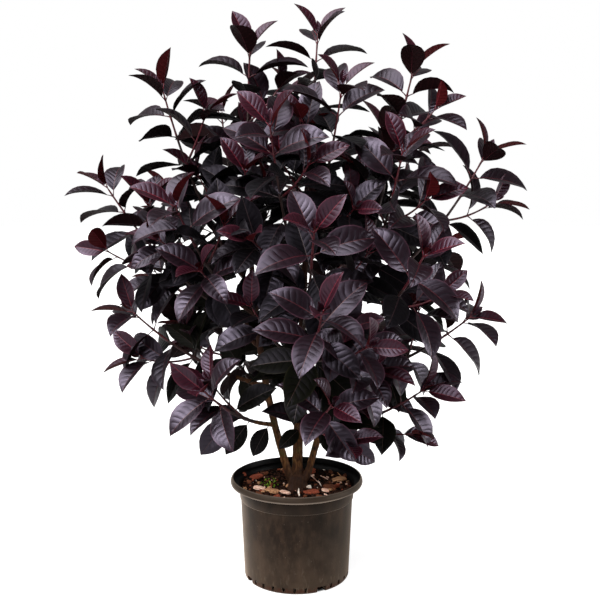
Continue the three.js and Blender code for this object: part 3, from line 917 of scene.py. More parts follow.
# The joints of a shoot from its tip back, each with its leaves' side
def shootJoints(line, bare, rand):
    rule = growthRule
    length = line["length"]
    # the pair at the tip opens across the plant
    tip = directionAt(line, 1)
    level, across = tip.cross(up).normalized(), Vector((1, 0, 0)) - tip * tip.x
    firstTurn = math.degrees(math.atan2(tip.dot(level.cross(across)), level.dot(across))) - 90
    firstTurn += rand.gauss(0, rule["tipTurn"])
    joints = []
    back = rule["tipInternodes"][0]
    while back < length - bare:
        share = 1 - back / length
        along = directionAt(line, share)
        turn = math.radians(firstTurn + 90 * len(joints) + rand.uniform(-0.5, 0.5) * rule["turnJitter"])
        side = along.cross(up).normalized()
        side.rotate(Matrix.Rotation(turn, 3, along))
        joints.append({"foot": pointAt(line, share), "along": along, "side": side, "back": back})
        n = len(joints)
        step = rule["tipInternodes"][n] if n < len(rule["tipInternodes"]) else rule["internode"]
        back += step * (1 + rand.uniform(-1, 1) * rule["internodeJitter"])
    return joints


def sideLine(joint, side, reach):
    rule = growthRule
    along = joint["along"]
    away = along.copy()
    away.rotate(Matrix.Rotation(math.radians(rule["sideAngle"]), 3, along.cross(side).normalized()))
    onward = away.lerp(up, rule["sideLift"]).normalized()
    length = min(joint["back"] * rule["sideShare"], reach)
    elbow = joint["foot"] + away * length / 2
    return limbLine(joint["foot"], elbow, elbow + onward * length / 2, 24)


# Points along every leaf, kept so that no two leaves crowd the same spot
class LeafRoom:
    def __init__(self, room):
        self.room = room
        self.cells = {}

    def cell(self, point, step=(0, 0, 0)):
        return tuple(math.floor(c / self.room) + d for c, d in zip(point, step))

    def near(self, point):
        for step in product((-1, 0, 1), repeat=3):
            yield from self.cells.get(self.cell(point, step), ())

    def isFree(self, points):
        return all((other - point).length > self.room for point in points for other in self.near(point))

    def take(self, points):
        for point in points:
            self.cells.setdefault(self.cell(point), []).append(point)


# The foliage hangs less low the further it stands out to the front, and parts there before the stems' feet
def lowestAt(point):
    rule = growthRule
    left, right = rule["parting"]
    overStems = left < point.x < right and point.y < rule["partingBack"]
    return (rule["partingHeight"] if overStems else rule["hangHeight"]) + max(0, -point.y) * rule["frontLift"]


# Tells whether a twig would grow into another leaf or hang too low
def hasNoRoom(line, room):
    points = [pointAt(line, share) for share in (0.3, 0.5, 0.7, 0.85, 1)]
    hangsLow = any(point.z < lowestAt(point) + growthRule["twigClearance"] for point in points)
    return hangsLow or not room.isFree(points[-1:])


# Places one leaf, in the first of the tries that finds room, or none. A shoot may set the leaf's sag, its
# turn to the light and how low it may hang.
def growLeaf(joint, side, age, shoot, crown):
    rule, rand = leafSizes, shoot["rand"]
    size, spread, shape = leafAges[min(age, len(leafAges) - 1)]
    foot, along = joint["foot"], joint["along"]
    low = 1 - clamp((foot.z - rule["sagSpan"][0]) / rule["sagSpan"][1])
    sag = lerp(*rule["sag"], low ** 1.5) * min(1, age / 4) * shoot.get("sag", 1)
    steepest = lerp(*rule["steepest"], low) * shoot.get("sag", 1)
    size *= shoot["vigour"] * (1 + rand.uniform(-1, 1) * rule["sizeJitter"])
    roll = rand.gauss(0, rule["roll"]) / shoot.get("light", 1)
    lean = rand.uniform(-rule["leanJitter"], rule["leanJitter"])
    crownX, crownY, crownZ = growthRule["crownRadii"]
    rise = foot.z - growthRule["crownMiddle"]
    inside = Vector((foot.x / crownX, foot.y / crownY, rise / crownZ)).length  # 1 at the crown's outside
    outward = Vector((foot.x, foot.y, 0)) / crownX * rule["outwardFacing"]
    for leanShare, sizeShare, turn in leafTries:
        angle = math.radians(spread * leanShare + lean)
        outer = side.copy()
        outer.rotate(Matrix.Rotation(math.radians(turn), 3, along))
        direction = along * math.cos(angle) + outer * math.sin(angle)
        direction.z = max(direction.z - sag, -steepest)
        direction.normalize()
        # hanging leaves turn further to the light
        light = shoot.get("light", 1 + rule["hangingTurn"] * max(0, -direction.z))
        facing = along + up + outward + rule["lightFrom"] * light
        facing = (facing - direction * facing.dot(direction)).normalized()
        facing.rotate(Matrix.Rotation(roll, 3, direction))
        length = rule["length"] * size * sizeShare
        middle = [
            foot + direction * length * s - facing * length * rule["droop"] * s * s for s in (0.35, 0.62, 0.9)
        ]
        isTooLow = middle[2].z < shoot.get("lowest", lowestAt(middle[2]))
        if isTooLow or (age >= 2 and not crown["room"].isFree(middle)):
            continue
        crown["room"].take(middle)
        crown["leaves"].append({
            "foot": foot + (outer - along * outer.dot(along)) * rule["twigRadius"],
            "turn": Matrix((direction.cross(facing), direction, facing)).transposed().to_quaternion(),
            "size": size * sizeShare, "shape": shape, "age": age, "inside": inside, "mass": shoot["mass"],
            "height": foot.z,
        })
        return True
    return False


# The leaves of one shoot, and their number
def leafShoot(line, bare, shoot, crown):
    joints = shootJoints(line, bare, shoot["rand"])
    count = 0
    for age, joint in enumerate(joints):
        for side in (joint["side"], -joint["side"]):
            count += growLeaf(joint, side, age, shoot, crown)
    return joints, count


# Leaves left on the bare parts of the lowest boughs, hanging beside the stems
def growHangers(crown):
    rule = growthRule
    rand = random.Random(rule["seed"])
    for name, share, bearing, size, steepness in rule["hangers"]:
        line = massLines[name]
        place = share * massPlan[name][2] / line["length"]
        away = atBearing(bearing, 1, 0)
        foot = pointAt(line, place) + away * rule["hangerFoot"]
        joint = {"foot": foot, "along": directionAt(line, place)}
        growLeaf(joint, away, rule["hangerAge"], {
            "mass": name, "vigour": size, "rand": rand, "sag": steepness, "light": rule["hangerLight"],
            "lowest": rule["hangerLowest"],
        }, crown)


# The shoots that lead the stems and the masses
def growLeaders(crown):
    rule = growthRule
    plans = []
    for name, (_, _, _, foliage, leader, _) in stemPlan.items():
        line = stemLines[name]
        plans.append((leader, line, line["length"] * shareAtHeight(line, foliage), woodSizes["stemTip"]))
    for name, (_, _, bough, *_) in massPlan.items():
        plans.append((name, massLines[name], bough, woodSizes["bough"][1] if bough else woodSizes["stemTwig"]))
    grown = []
    for i, (name, line, bare, radius) in enumerate(plans):
        rand = random.Random(rule["seed"] + i)
        joints, _ = leafShoot(line, bare + rule["boughOverlap"], {"mass": name, "vigour": 1, "rand": rand}, crown)
        crown["twigs"].append({
            "line": line, "from": max(0, bare - rule["boughOverlap"]), "radii": (radius, rule["leaderTip"]),
            "joints": joints,
        })
        grown.append((name, joints, rand))
    return grown


# A number as it is, or one at random in a range
def drawn(value, rand):
    return rand.uniform(*value) if isinstance(value, tuple) else value


# The shoots of the next order, out of the axils of some of the leaves
def growSideShoots(parents, order, crown):
    thinFrom, thinOver = growthRule["lowCrown"]
    grown = []
    for name, joints, rand in parents:
        for joint in joints:
            chance = lerp(*order["chance"], clamp((joint["foot"].z - thinFrom) / thinOver))
            for side in (joint["side"], -joint["side"]):
                if joint["back"] < order["from"] or rand.random() > chance:
                    continue
                line = sideLine(joint, side, order["reach"] * drawn(order["reachShare"], rand))
                shoot = {"mass": name, "vigour": drawn(order["vigour"], rand), "rand": rand}
                if hasNoRoom(line, crown["room"]):
                    continue
                sideJoints, count = leafShoot(line, growthRule["sideBare"], shoot, crown)
                if count < order["fewest"]:
                    continue
                crown["twigs"].append({"line": line, "from": 0, "radii": order["radii"], "joints": sideJoints})
                grown.append((name, sideJoints, rand))
    return grown


crown = {"leaves": [], "twigs": [], "room": LeafRoom(growthRule["leafRoom"])}
growHangers(crown)
shoots = growLeaders(crown)
for order in shootOrders:
    shoots = growSideShoots(shoots, order, crown)
print("crown grown:", len(crown["leaves"]), "leaves,", len(crown["twigs"]), "shoots")


# Wood: stump, necks, stems and boughs in one skin of bark


# Bark of a young stem: orange-brown with olive patches, darker on the stump, and darkened inside the crown as
# painted shade under the leaves
def stemBark():
    material, tree, place = newMaterial("young smooth bark")
    height = addNode(tree, "ShaderNodeSeparateXYZ", {0: place}, "Z")
    tall = addNode(tree, "ShaderNodeMapping", {"Vector": place, "Scale": (1, 1, 0.35)})
    furrows = addNode(tree, "ShaderNodeTexNoise", {"Vector": tall, "Scale": 300, "Detail": 6, "Distortion": 0.5})
    patches = addNode(tree, "ShaderNodeTexNoise", {"Vector": place, "Scale": 60, "Detail": 3})
    warm = addNode(tree, "ShaderNodeValToRGB", {
        "stops": [(0.3, "#23130a"), (0.52, "#543419"), (0.72, "#7c5431")], 0: furrows,
    })
    oliveShare = addNode(tree, "ShaderNodeValToRGB", {"stops": [(0.5, 0), (0.7, 0.6)], 0: patches})
    stumpShare = addNode(tree, "ShaderNodeMapRange", {0: height, "span": (0.158, 0.185, 0.85, 0)})
    # painted shade: the bark darkens up into the crown, under the foliage
    crownShadeShare = addNode(tree, "ShaderNodeMapRange", {0: height, "span": (0.22, 0.38, 0, 0.9)})
    colour = warm
    for share, layer in ((oliveShare, "#4a4322"), (stumpShare, "#27150e"), (crownShadeShare, "#27110c")):
        colour = addNode(tree, "ShaderNodeMix", {"data_type": "RGBA", 0: share, 6: colour, 7: layer})
    bump = addNode(tree, "ShaderNodeBump", {"Strength": 0.6, "Distance": 0.0008, "Height": furrows})
    return finishMaterial(material, {
        "Base Color": colour, "Roughness": 0.7, "Normal": bump, "IOR": 1.45, "Specular IOR Level": 0.2,
    })


# Adds a closed round limb along a line, from one share of it to another
def addLimb(shape, line, fromShare, toShare, footRadius, tipRadius, sides):
    steps = max(3, int(line["length"] * (toShare - fromShare) / woodSizes["ringStep"]))
    points = [pointAt(line, lerp(fromShare, toShare, i / steps)) * mm for i in range(steps + 1)]
    rings = []
    across = None
    for i, point in enumerate(points):
        radius = lerp(footRadius, tipRadius, i / steps) * mm
        along = (points[min(i + 1, steps)] - points[max(i - 1, 0)]).normalized()
        across = across or along.orthogonal().normalized()
        across = (across - along * across.dot(along)).normalized()
        other = along.cross(across)
        rings.append([
            shape.verts.new(point + (across * math.cos(a) + other * math.sin(a)) * radius)
            for a in (2 * math.pi * n / sides for n in range(sides))
        ])
    for corners in (*ringFaces(rings), rings[0][::-1], rings[-1]):
        shape.faces.new(corners)


def makeWood():
    s, sides = woodSizes, woodSizes["sides"]
    level = mixSizes["level"] / mm
    wood = bmesh.new()
    profile = [(0, (level - s["stumpFoot"]) * mm)] + [(r * mm, (level + h) * mm) for r, h in s["stump"]]
    stump = turnedMesh("stump", profile, s["stumpSides"])
    for vertex in stump.vertices:
        bearing = math.atan2(vertex.co.y, vertex.co.x)
        swell = 1 + s["lobeDepth"] * math.cos(s["lobes"] * bearing)
        vertex.co.x *= swell
        vertex.co.y *= swell
    wood.from_mesh(stump)
    bpy.data.meshes.remove(stump)
    for name, (neck, _, radius, foliage, _, _) in stemPlan.items():
        line = stemLines[name]
        end = Vector((*neck, s["neckTop"]))
        start = Vector((neck[0] * s["neckSpread"], neck[1] * s["neckSpread"], s["neckFoot"]))
        below = end - directionAt(line, 0) * s["neckStraight"]
        addLimb(wood, limbLine(start, below, end, 16), 0, 1, radius * s["neckSwell"], radius, sides["neck"])
        addLimb(wood, line, 0, shareAtHeight(line, foliage), radius, s["stemTip"], sides["stem"])
    boughs = {name: row[2] for name, row in massPlan.items() if row[2]}
    for name, bough in boughs.items():
        addLimb(wood, massLines[name], 0, bough / massLines[name]["length"], *s["bough"], sides["bough"])
    piece = newObject("bark_wood", meshFrom(wood, "bark_wood"))
    skin = piece.modifiers.new("skin", "REMESH")
    skin.mode = "VOXEL"
    skin.voxel_size = s["voxel"] * mm
    soften = piece.modifiers.new("soften", "SMOOTH")
    soften.factor = 0.5
    soften.iterations = 3
    bakeModifiers(piece)
    # long shallow furrows, deeper on the stump
    mesh = piece.data
    normals = [v.normal.copy() for v in mesh.vertices]
    for vertex, normal in zip(mesh.vertices, normals):
        x, y, z = vertex.co
        furrow = noise.noise(Vector((x * 330, y * 330, z * 60)))
        knob = noise.noise(Vector((x * 120, y * 120, z * 120 + 5)))
        depth = 1 + s["stumpRelief"] * clamp((s["stumpTop"] * mm - z) / (s["stumpFade"] * mm))
        vertex.co = vertex.co + normal * (s["relief"] * mm) * depth * (furrow * 0.7 + knob * 0.5)
    shadeSmooth(mesh, 180)
    mesh.materials.clear()
    mesh.materials.append(stemBark())
    nodes = ["trunk"] + ["stem_" + name for name in stemPlan] + ["bough_" + name for name in boughs]
    finishPiece(piece, "bark", *nodes)
    print("wood made:", len(mesh.polygons), "faces")


makeWood()


# Twigs

twigSizes = {
    "sides": 6,
    "step": 7,  # millimetres between rings
    "tipShare": 0.35,
    "jointSwell": 0.3,
    "jointLength": 3,
    "crimsonLength": 75,  # young wood, back from the tip
}


# Young twig: smooth and a little waxy, crimson near the tip, brown-maroon further back
def twigSkin(name, colour, roughness):
    material, tree, place = newMaterial(name)
    mottle = addNode(tree, "ShaderNodeTexNoise", {"Vector": place, "Scale": 250, "Detail": 3})
    share = addNode(tree, "ShaderNodeMapRange", {0: mottle, "span": (0.3, 0.7, 0.7, 1.25)})
    tint = addNode(tree, "ShaderNodeMix", {
        "data_type": "RGBA", "blend_type": "MULTIPLY", 0: 1.0, 6: colour, 7: share,
    })
    bump = addNode(tree, "ShaderNodeBump", {"Strength": 0.3, "Distance": 0.0003, "Height": mottle})
    return finishMaterial(material, {"Base Color": tint, "Roughness": roughness, "Normal": bump, "IOR": 1.45})


twigFinishes = [twigSkin("crimson young twig", "#4a121b", 0.42), twigSkin("brown-maroon twig", "#2a1312", 0.55)]


# Turns lines with a radius at each point into closed round twigs
def twigTree(materials):
    tree, given = newTree("twigs along lines", {"Sides": "Int", "Thickness": "Float"})
    radius = addNode(tree, "GeometryNodeInputNamedAttribute", {"data_type": "FLOAT", "Name": "twigRadius"})
    thick = addNode(tree, "ShaderNodeMath", {"operation": "MULTIPLY", 0: radius, 1: given["Thickness"]})
    curve = addNode(tree, "GeometryNodeMeshToCurve", {"Mesh": given["Geometry"]})
    profile = addNode(tree, "GeometryNodeCurvePrimitiveCircle", {"Resolution": given["Sides"], "Radius": 1.0})
    tube = addNode(tree, "GeometryNodeCurveToMesh", {
        "Curve": curve, "Profile Curve": profile, "Scale": thick, "Fill Caps": True,
    })
    smooth = addNode(tree, "GeometryNodeSetShadeSmooth", {"Geometry": tube})
    real = addNode(tree, "GeometryNodeRealizeInstances", {"Geometry": smooth})
    return finishTree(tree, real, "twigTone", materials)


def makeTwigs():
    s = twigSizes
    points, edges, radii, tones = [], [], [], []
    for twig in crown["twigs"]:
        line, start = twig["line"], twig["from"]
        length = line["length"]
        stations = [start]
        while stations[-1] < length - s["step"]:
            stations.append(stations[-1] + s["step"])
        stations += [length - 0.5 * s["step"], length]
        swellings = [length - joint["back"] for joint in twig["joints"]]
        for i, station in enumerate(stations):
            radius = lerp(*twig["radii"], (station - start) / (length - start))
            if i == len(stations) - 1:
                radius *= s["tipShare"]
            nearest = min((abs(station - place) for place in swellings), default=99)
            radius *= 1 + s["jointSwell"] * math.exp(-((nearest / s["jointLength"]) ** 2))
            if i:
                edges.append((len(points) - 1, len(points)))
            points.append(pointAt(line, station / length) * mm)
            radii.append(radius * mm)
            tones.append(0 if length - station < s["crimsonLength"] else 1)
    piece = newObject("twigs", newMesh("twig_lines", points, [], edges))
    markPoints(piece.data, "twigRadius", "FLOAT", radii)
    markPoints(piece.data, "twigTone", "INT", tones)
    runTree(piece, twigTree(twigFinishes), {"Sides": s["sides"], "Thickness": 1.0})
    finishPiece(piece, "bark")
    print("twigs made:", len(piece.data.polygons), "faces")


makeTwigs()


# Leaves

# Rows from the blade's foot to its tip: share of its length and of its half width
bladeRows = [
    (0, 0), (0.05, 0.22), (0.13, 0.52), (0.24, 0.82), (0.37, 0.98), (0.5, 1), (0.63, 0.92), (0.75, 0.72),
    (0.86, 0.42), (0.94, 0.17), (1, 0),
]

# Each shape: half width, arch (radians), fold, twist, curl of the tip, wave of the margin
leafShapes = {
    "tip": [(0.215, 0.3, 0.5, 0.1, 0.15, 0), (0.225, 0.42, 0.45, -0.12, 0.2, 0)],
    "young": [
        (0.235, 0.8, 0.4, 0.2, 0.25, 0.01),
        (0.23, 0.95, 0.46, -0.22, 0.3, 0.015),
        (0.24, 0.65, 0.34, 0.05, 0.25, 0.01),
    ],
    "grown": [
        (0.24, 0.52, 0.34, 0.22, 0.2, 0.02),
        (0.245, 0.65, 0.4, -0.25, 0.25, 0.02),
        (0.235, 0.44, 0.26, 0.08, 0.15, 0.02),
        (0.245, 0.74, 0.32, 0.28, 0.25, 0.015),
        (0.23, 0.58, 0.46, -0.12, 0.2, 0.01),
    ],
    "old": [(0.24, 0.42, 0.28, 0.2, 0.12, 0.02), (0.25, 0.32, 0.22, -0.2, 0.15, 0.02)],
}
leafBody = {
    "rib": (0.75, 0.25),  # half width at the blade's foot and tip, millimetres
    "bladeThickness": 0.5,
    "keel": 1.0,  # the rib stands this far out of the under face
    "quilt": 0.075,  # the blade's middle is raised by this share of its half width
    "curlFrom": 0.72,
    "petiole": [(-0.012, 1.25, 0), (0.05, 0.9, 0.1), (0.155, 0.75, 0.7)],  # share of the length, radius, drop
}


# One leaf along +Y with its upper face up. Faces carry their zone: 0 upper, 1 under, 2 rib and petiole.
def leafMesh(name, halfWidth, arch, fold, twist, curl, wave):
    full, petiole, body = leafSizes["length"], leafSizes["petiole"], leafBody

    def turnAt(share):
        return arch * share + curl * max(0, share - body["curlFrom"]) ** 2 / 0.08

    # the rib's line, bent a little more at each step
    steps = 60
    ribLine = [Vector((0, 0, 0))]
    for i in range(steps):
        turn = turnAt((i + 0.5) / steps)
        ribLine.append(ribLine[-1] + Vector((0, math.cos(turn), -math.sin(turn))) * full / steps)

    def corner(share, side, above):
        n = min(int(share * steps), steps - 1)
        centre = ribLine[n].lerp(ribLine[n + 1], share * steps - n)
        turn = turnAt(share)
        facing = Vector((0, math.sin(turn), math.cos(turn)))
        roll = Matrix.Rotation(twist * (share - 0.2), 3, Vector((0, math.cos(turn), -math.sin(turn))))
        return (centre + roll @ (Vector((side, 0, 0)) + facing * above)) * mm

    shape = bmesh.new()
    uvLayer = shape.loops.layers.uv.new("leafPlace")
    zoneLayer = shape.faces.layers.int.new("leafZone")
    where = {}

    def addCorner(point, place):
        vertex = shape.verts.new(point)
        where[vertex] = place
        return vertex

    def addFace(corners, zone):
        kept = withoutTwins(corners)
        if len(kept) > 2:
            face = shape.faces.new(kept)
            face.smooth = True
            face[zoneLayer] = zone
            for loop in face.loops:
                loop[uvLayer].uv = where[loop.vert]

    # six corners across, on both faces: margins, middles of the halves and edges of the rib
    upper, under = [], []
    for t, w in bladeRows:
        share = petiole + (1 - petiole) * t
        half = w * halfWidth * full
        if w == 0:
            pole = addCorner(corner(share, 0, 0), (0.5, t))
            upper.append([pole] * 6)
            under.append([pole] * 6)
            continue
        rib = min(lerp(*body["rib"], t), half * 0.5)
        topRow, underRow = [], []
        for n, side in enumerate((-half, -0.55 * half, -rib, rib, 0.55 * half, half)):
            isMargin, isRib = n in (0, 5), n in (2, 3)
            edge = abs(side) / (halfWidth * full)
            lift = abs(side) * fold + wave * full * 0.25 * edge * edge * math.sin(9 * t + (2 if side > 0 else 0))
            if not (isMargin or isRib):
                lift += body["quilt"] * half
            place = ((side / half + 1) / 2, t)
            thick = 0 if isMargin else body["bladeThickness"] / 2
            topRow.append(addCorner(corner(share, side, lift + thick), place))
            if isMargin:
                underRow.append(topRow[-1])
            else:
                keel = body["keel"] * (1 - 0.6 * t) if isRib else 0
                inner = side * (0.7 if isRib else 1)
                underRow.append(addCorner(corner(share, inner, lift - thick - keel), place))
        upper.append(topRow)
        under.append(underRow)
    for r in range(len(bladeRows) - 1):
        for c in range(5):
            isRib = c == 2
            addFace([upper[r][c], upper[r][c + 1], upper[r + 1][c + 1], upper[r + 1][c]], 2 if isRib else 0)
            addFace([under[r][c + 1], under[r][c], under[r + 1][c], under[r + 1][c + 1]], 2 if isRib else 1)
    # the margin stays sharp
    for edge in shape.edges:
        zones = {face[zoneLayer] for face in edge.link_faces}
        edge.smooth = zones != {0, 1}
    # petiole: four sides, from inside the twig to under the blade's foot
    rings = []
    for share, radius, drop in body["petiole"]:
        centre = corner(max(share, 0), 0, -drop) + Vector((0, min(share, 0) * full * mm, 0))
        angles = [math.pi / 4 + math.pi / 2 * n for n in range(4)]
        rings.append([
            addCorner(centre + Vector((math.cos(a), 0, math.sin(a))) * radius * mm, (0.5, 0)) for a in angles
        ])
    for low, high in zip(rings, rings[1:]):
        for n in range(4):
            addFace([low[(n + 1) % 4], low[n], high[n], high[(n + 1) % 4]], 2)
    addFace(rings[0], 2)
    addFace(rings[-1][::-1], 2)
    bmesh.ops.recalc_face_normals(shape, faces=shape.faces)
    return meshFrom(shape, name)


# The share of the way out from the rib to the margin, and a ripple that falls to 0 on each side vein
def sideVeins(tree, place):
    onLeaf = addNode(tree, "ShaderNodeUVMap", {"uv_map": "leafPlace"})
    parts = addNode(tree, "ShaderNodeSeparateXYZ", {0: onLeaf}).node.outputs
    centred = addNode(tree, "ShaderNodeMath", {"operation": "MULTIPLY_ADD", 0: parts["X"], 1: 2.0, 2: -1.0})
    side = addNode(tree, "ShaderNodeMath", {"operation": "ABSOLUTE", 0: centred})
    # side veins run forward as they run out
    forward = addNode(tree, "ShaderNodeMath", {"operation": "MULTIPLY_ADD", 0: side, 1: -0.16, 2: parts["Y"]})
    drift = addNode(tree, "ShaderNodeTexNoise", {"Vector": place, "Scale": 45, "Detail": 1})
    uneven = addNode(tree, "ShaderNodeMath", {"operation": "MULTIPLY_ADD", 0: drift, 1: 0.14, 2: forward})
    phase = addNode(tree, "ShaderNodeMath", {"operation": "MULTIPLY", 0: uneven, 1: math.pi * 8})
    wave = addNode(tree, "ShaderNodeMath", {"operation": "SINE", 0: phase})
    return side, addNode(tree, "ShaderNodeMath", {"operation": "ABSOLUTE", 0: wave})


# Upper face of a leaf: waxy and semi-gloss, quilted between some nine pairs of sunken side veins, with painted
# shade darkening their troughs and a thin paler margin
def bladeUpper(name, colour, vein, margin, roughness, gloss):
    material, tree, place = newMaterial(name)
    side, quilt = sideVeins(tree, place)
    smoothstep = {"interpolation_type": "SMOOTHSTEP"}
    # painted shade: the vein colour darkens the sunken troughs between the quilts
    paintedTroughShade = addNode(tree, "ShaderNodeMapRange", {**smoothstep, 0: quilt, "span": (0.0, 0.5, 1.0, 0.0)})
    fade = addNode(tree, "ShaderNodeMapRange", {**smoothstep, 0: side, "span": (0.45, 0.95, 1.0, 0.1)})
    veinShare = addNode(tree, "ShaderNodeMath", {"operation": "MULTIPLY", 0: paintedTroughShade, 1: fade})
    drift = addNode(tree, "ShaderNodeTexNoise", {"Vector": place, "Scale": 16, "Detail": 2})  # over some 60 mm
    light = addNode(tree, "ShaderNodeMapRange", {0: drift, "span": (0.3, 0.7, 0.72, 1.3)})
    veined = addNode(tree, "ShaderNodeMix", {"data_type": "RGBA", 0: veinShare, 6: colour, 7: vein})
    varied = addNode(tree, "ShaderNodeMix", {
        "data_type": "RGBA", "blend_type": "MULTIPLY", 0: 1.0, 6: veined, 7: light,
    })
    rim = addNode(tree, "ShaderNodeMapRange", {0: side, "span": (0.9, 0.97, 0.0, 0.8)})
    edged = addNode(tree, "ShaderNodeMix", {"data_type": "RGBA", 0: rim, 6: varied, 7: margin})
    fleck = addNode(tree, "ShaderNodeTexNoise", {"Vector": place, "Scale": 330, "Detail": 3})
    dull = addNode(tree, "ShaderNodeMapRange", {0: fleck, "span": (0.3, 0.7, roughness - 0.03, roughness + 0.05)})
    rounded = addNode(tree, "ShaderNodeMath", {"operation": "POWER", 0: quilt, 1: 0.8})
    pillow = addNode(tree, "ShaderNodeMath", {"operation": "MULTIPLY", 0: rounded, 1: fade})
    bump = addNode(tree, "ShaderNodeBump", {"Strength": 0.46, "Distance": 0.0009, "Height": pillow})
    return finishMaterial(material, {
        "Base Color": edged, "Roughness": dull, "Normal": bump, "IOR": 1.45,
        "Specular IOR Level": gloss, "Specular Tint": "#d9cbe6",  # the wax scatters a lavender light
    })


# Under face: duller, with raised side veins
def bladeUnder(name, colour, vein):
    material, tree, place = newMaterial(name)
    _, quilt = sideVeins(tree, place)
    veinShare = addNode(tree, "ShaderNodeMapRange", {
        "interpolation_type": "SMOOTHSTEP", 0: quilt, "span": (0.0, 0.35, 0.6, 0.0),
    })
    veined = addNode(tree, "ShaderNodeMix", {"data_type": "RGBA", 0: veinShare, 6: colour, 7: vein})
    bump = addNode(tree, "ShaderNodeBump", {"invert": True, "Strength": 0.5, "Distance": 0.0006, "Height": quilt})
    return finishMaterial(material, {
        "Base Color": veined, "Roughness": 0.65, "Normal": bump, "IOR": 1.42, "Specular IOR Level": 0.14,
    })


# Finish number = 3 x tone + zone; tones: 0 youngest, 1 young, 2 grown, 3 old and green-black, also painted shade
# deep in the crown low down, 4 painted shade deep in the crown higher up
leafFinishes = [
    bladeUpper("burgundy youngest leaf", "#2a0b14", "#18050a", "#572733", 0.31, 0.63),
    bladeUnder("wine-red under face", "#3c070b", "#521219"),
    twigSkin("crimson rib", "#6a1a28", 0.4),
    bladeUpper("plum young leaf", "#150a0f", "#090406", "#402530", 0.31, 0.7),
    bladeUnder("maroon under face", "#1a0709", "#2c0f12"),
    twigSkin("wine-red rib", "#42141d", 0.42),
    bladeUpper("violet-black grown leaf", "#0c0709", "#050203", "#2b1b23", 0.31, 0.7),
    bladeUnder("black-maroon under face", "#0f0607", "#1b0c0e"),
    twigSkin("maroon rib", "#2e121a", 0.45),
    bladeUpper("green-black old leaf", "#090a04", "#040402", "#1c1b10", 0.42, 0.15),
    bladeUnder("olive-black under face", "#12110a", "#201d10"),
    twigSkin("brown rib", "#2a1814", 0.5),
    bladeUpper("blue-black inner leaf", "#070607", "#030203", "#1b161b", 0.4, 0.19),
    bladeUnder("black under face", "#0e0809", "#180d0f"),
    twigSkin("dark maroon rib", "#261318", 0.48),
]
toneRule = {
    "youngOutside": 0.5,  # shares of the way out to the crown's outside
    "shadedInside": 0.68,
    "skirtHeight": 325,
    "skirtReach": 185,
    "greenBelow": 430,
    "usual": 0.8,  # the chance that a leaf has its place's own tone
}

# What each point of a leaf carries, and what each face of the leaf's shape does
leafMarks = {
    "leafShape": "INT", "leafTurn": "QUATERNION", "leafScale": "FLOAT", "leafTone": "INT", "leafZone": "INT",
}


# Puts a leaf on each point, of the shape, turn and size that the point carries
def leafTree(materials):
    tree, given = newTree("leaves on their joints", {"Leaf shapes": "Collection", "Leaf size": "Float"})
    marks = {
        name: addNode(tree, "GeometryNodeInputNamedAttribute", {"data_type": kind, "Name": name})
        for name, kind in leafMarks.items()
    }
    scaled = addNode(tree, "ShaderNodeMath", {
        "operation": "MULTIPLY", 0: marks["leafScale"], 1: given["Leaf size"],
    })
    shapes = addNode(tree, "GeometryNodeCollectionInfo", {
        "Collection": given["Leaf shapes"], "Separate Children": True, "Reset Children": True,
    })
    points = addNode(tree, "GeometryNodeMeshToPoints", {"Mesh": given["Geometry"]})
    placed = addNode(tree, "GeometryNodeInstanceOnPoints", {
        "Points": points, "Instance": shapes, "Pick Instance": True, "Instance Index": marks["leafShape"],
        "Rotation": marks["leafTurn"], "Scale": scaled,
    })
    real = addNode(tree, "GeometryNodeRealizeInstances", {"Geometry": placed})
    finish = addNode(tree, "ShaderNodeMath", {
        "operation": "MULTIPLY_ADD", 0: marks["leafTone"], 1: 3.0, 2: marks["leafZone"],
    })
    marked = addNode(tree, "GeometryNodeStoreNamedAttribute", {
        "data_type": "INT", "domain": "FACE", "Geometry": real, "Name": "leafFinish", "Value": finish,
    })
    return finishTree(tree, marked, "leafFinish", materials)


# The tone is dealt out by spray and age: red at the tips, green-black low down, and darker, duller tones deep
# inside as painted shade
def leafTone(leaf, rand):
    age, inside, rule = leaf["age"], leaf["inside"], toneRule
    if age <= 1:
        return 0
    if age <= 3 and inside > rule["youngOutside"]:
        return 1
    reach = math.hypot(leaf["foot"].x, leaf["foot"].y)
    isUnderSkirt = leaf["height"] < rule["skirtHeight"] and reach < rule["skirtReach"]
    # painted shade: leaves deep inside the crown take the dark, dull tones 3 and 4
    if inside < rule["shadedInside"] or isUnderSkirt:
        shaded = 3 if leaf["height"] < rule["greenBelow"] else 4
        return shaded if rand.random() < rule["usual"] else 2
    return 2 if rand.random() < rule["usual"] else 1


crownTiers = {  # the masses whose foliage each piece stands for
    "leaves_upper": [
        "top_left", "top_back", "top_right", "upper_left", "upper_back_left", "top_front", "upper_front",
        "upper_back", "upper_right", "upper_front_right", "upper_back_right",
    ],
    "leaves_middle": ["far_left", "front_left", "back_left", "front", "back", "front_right", "back_right"],
    "leaves_lower": [
        "low_left", "low_back_left", "skirt_left", "low_front", "low_back", "skirt_front", "low_right",
        "low_back_right", "skirt_right",
    ],
}


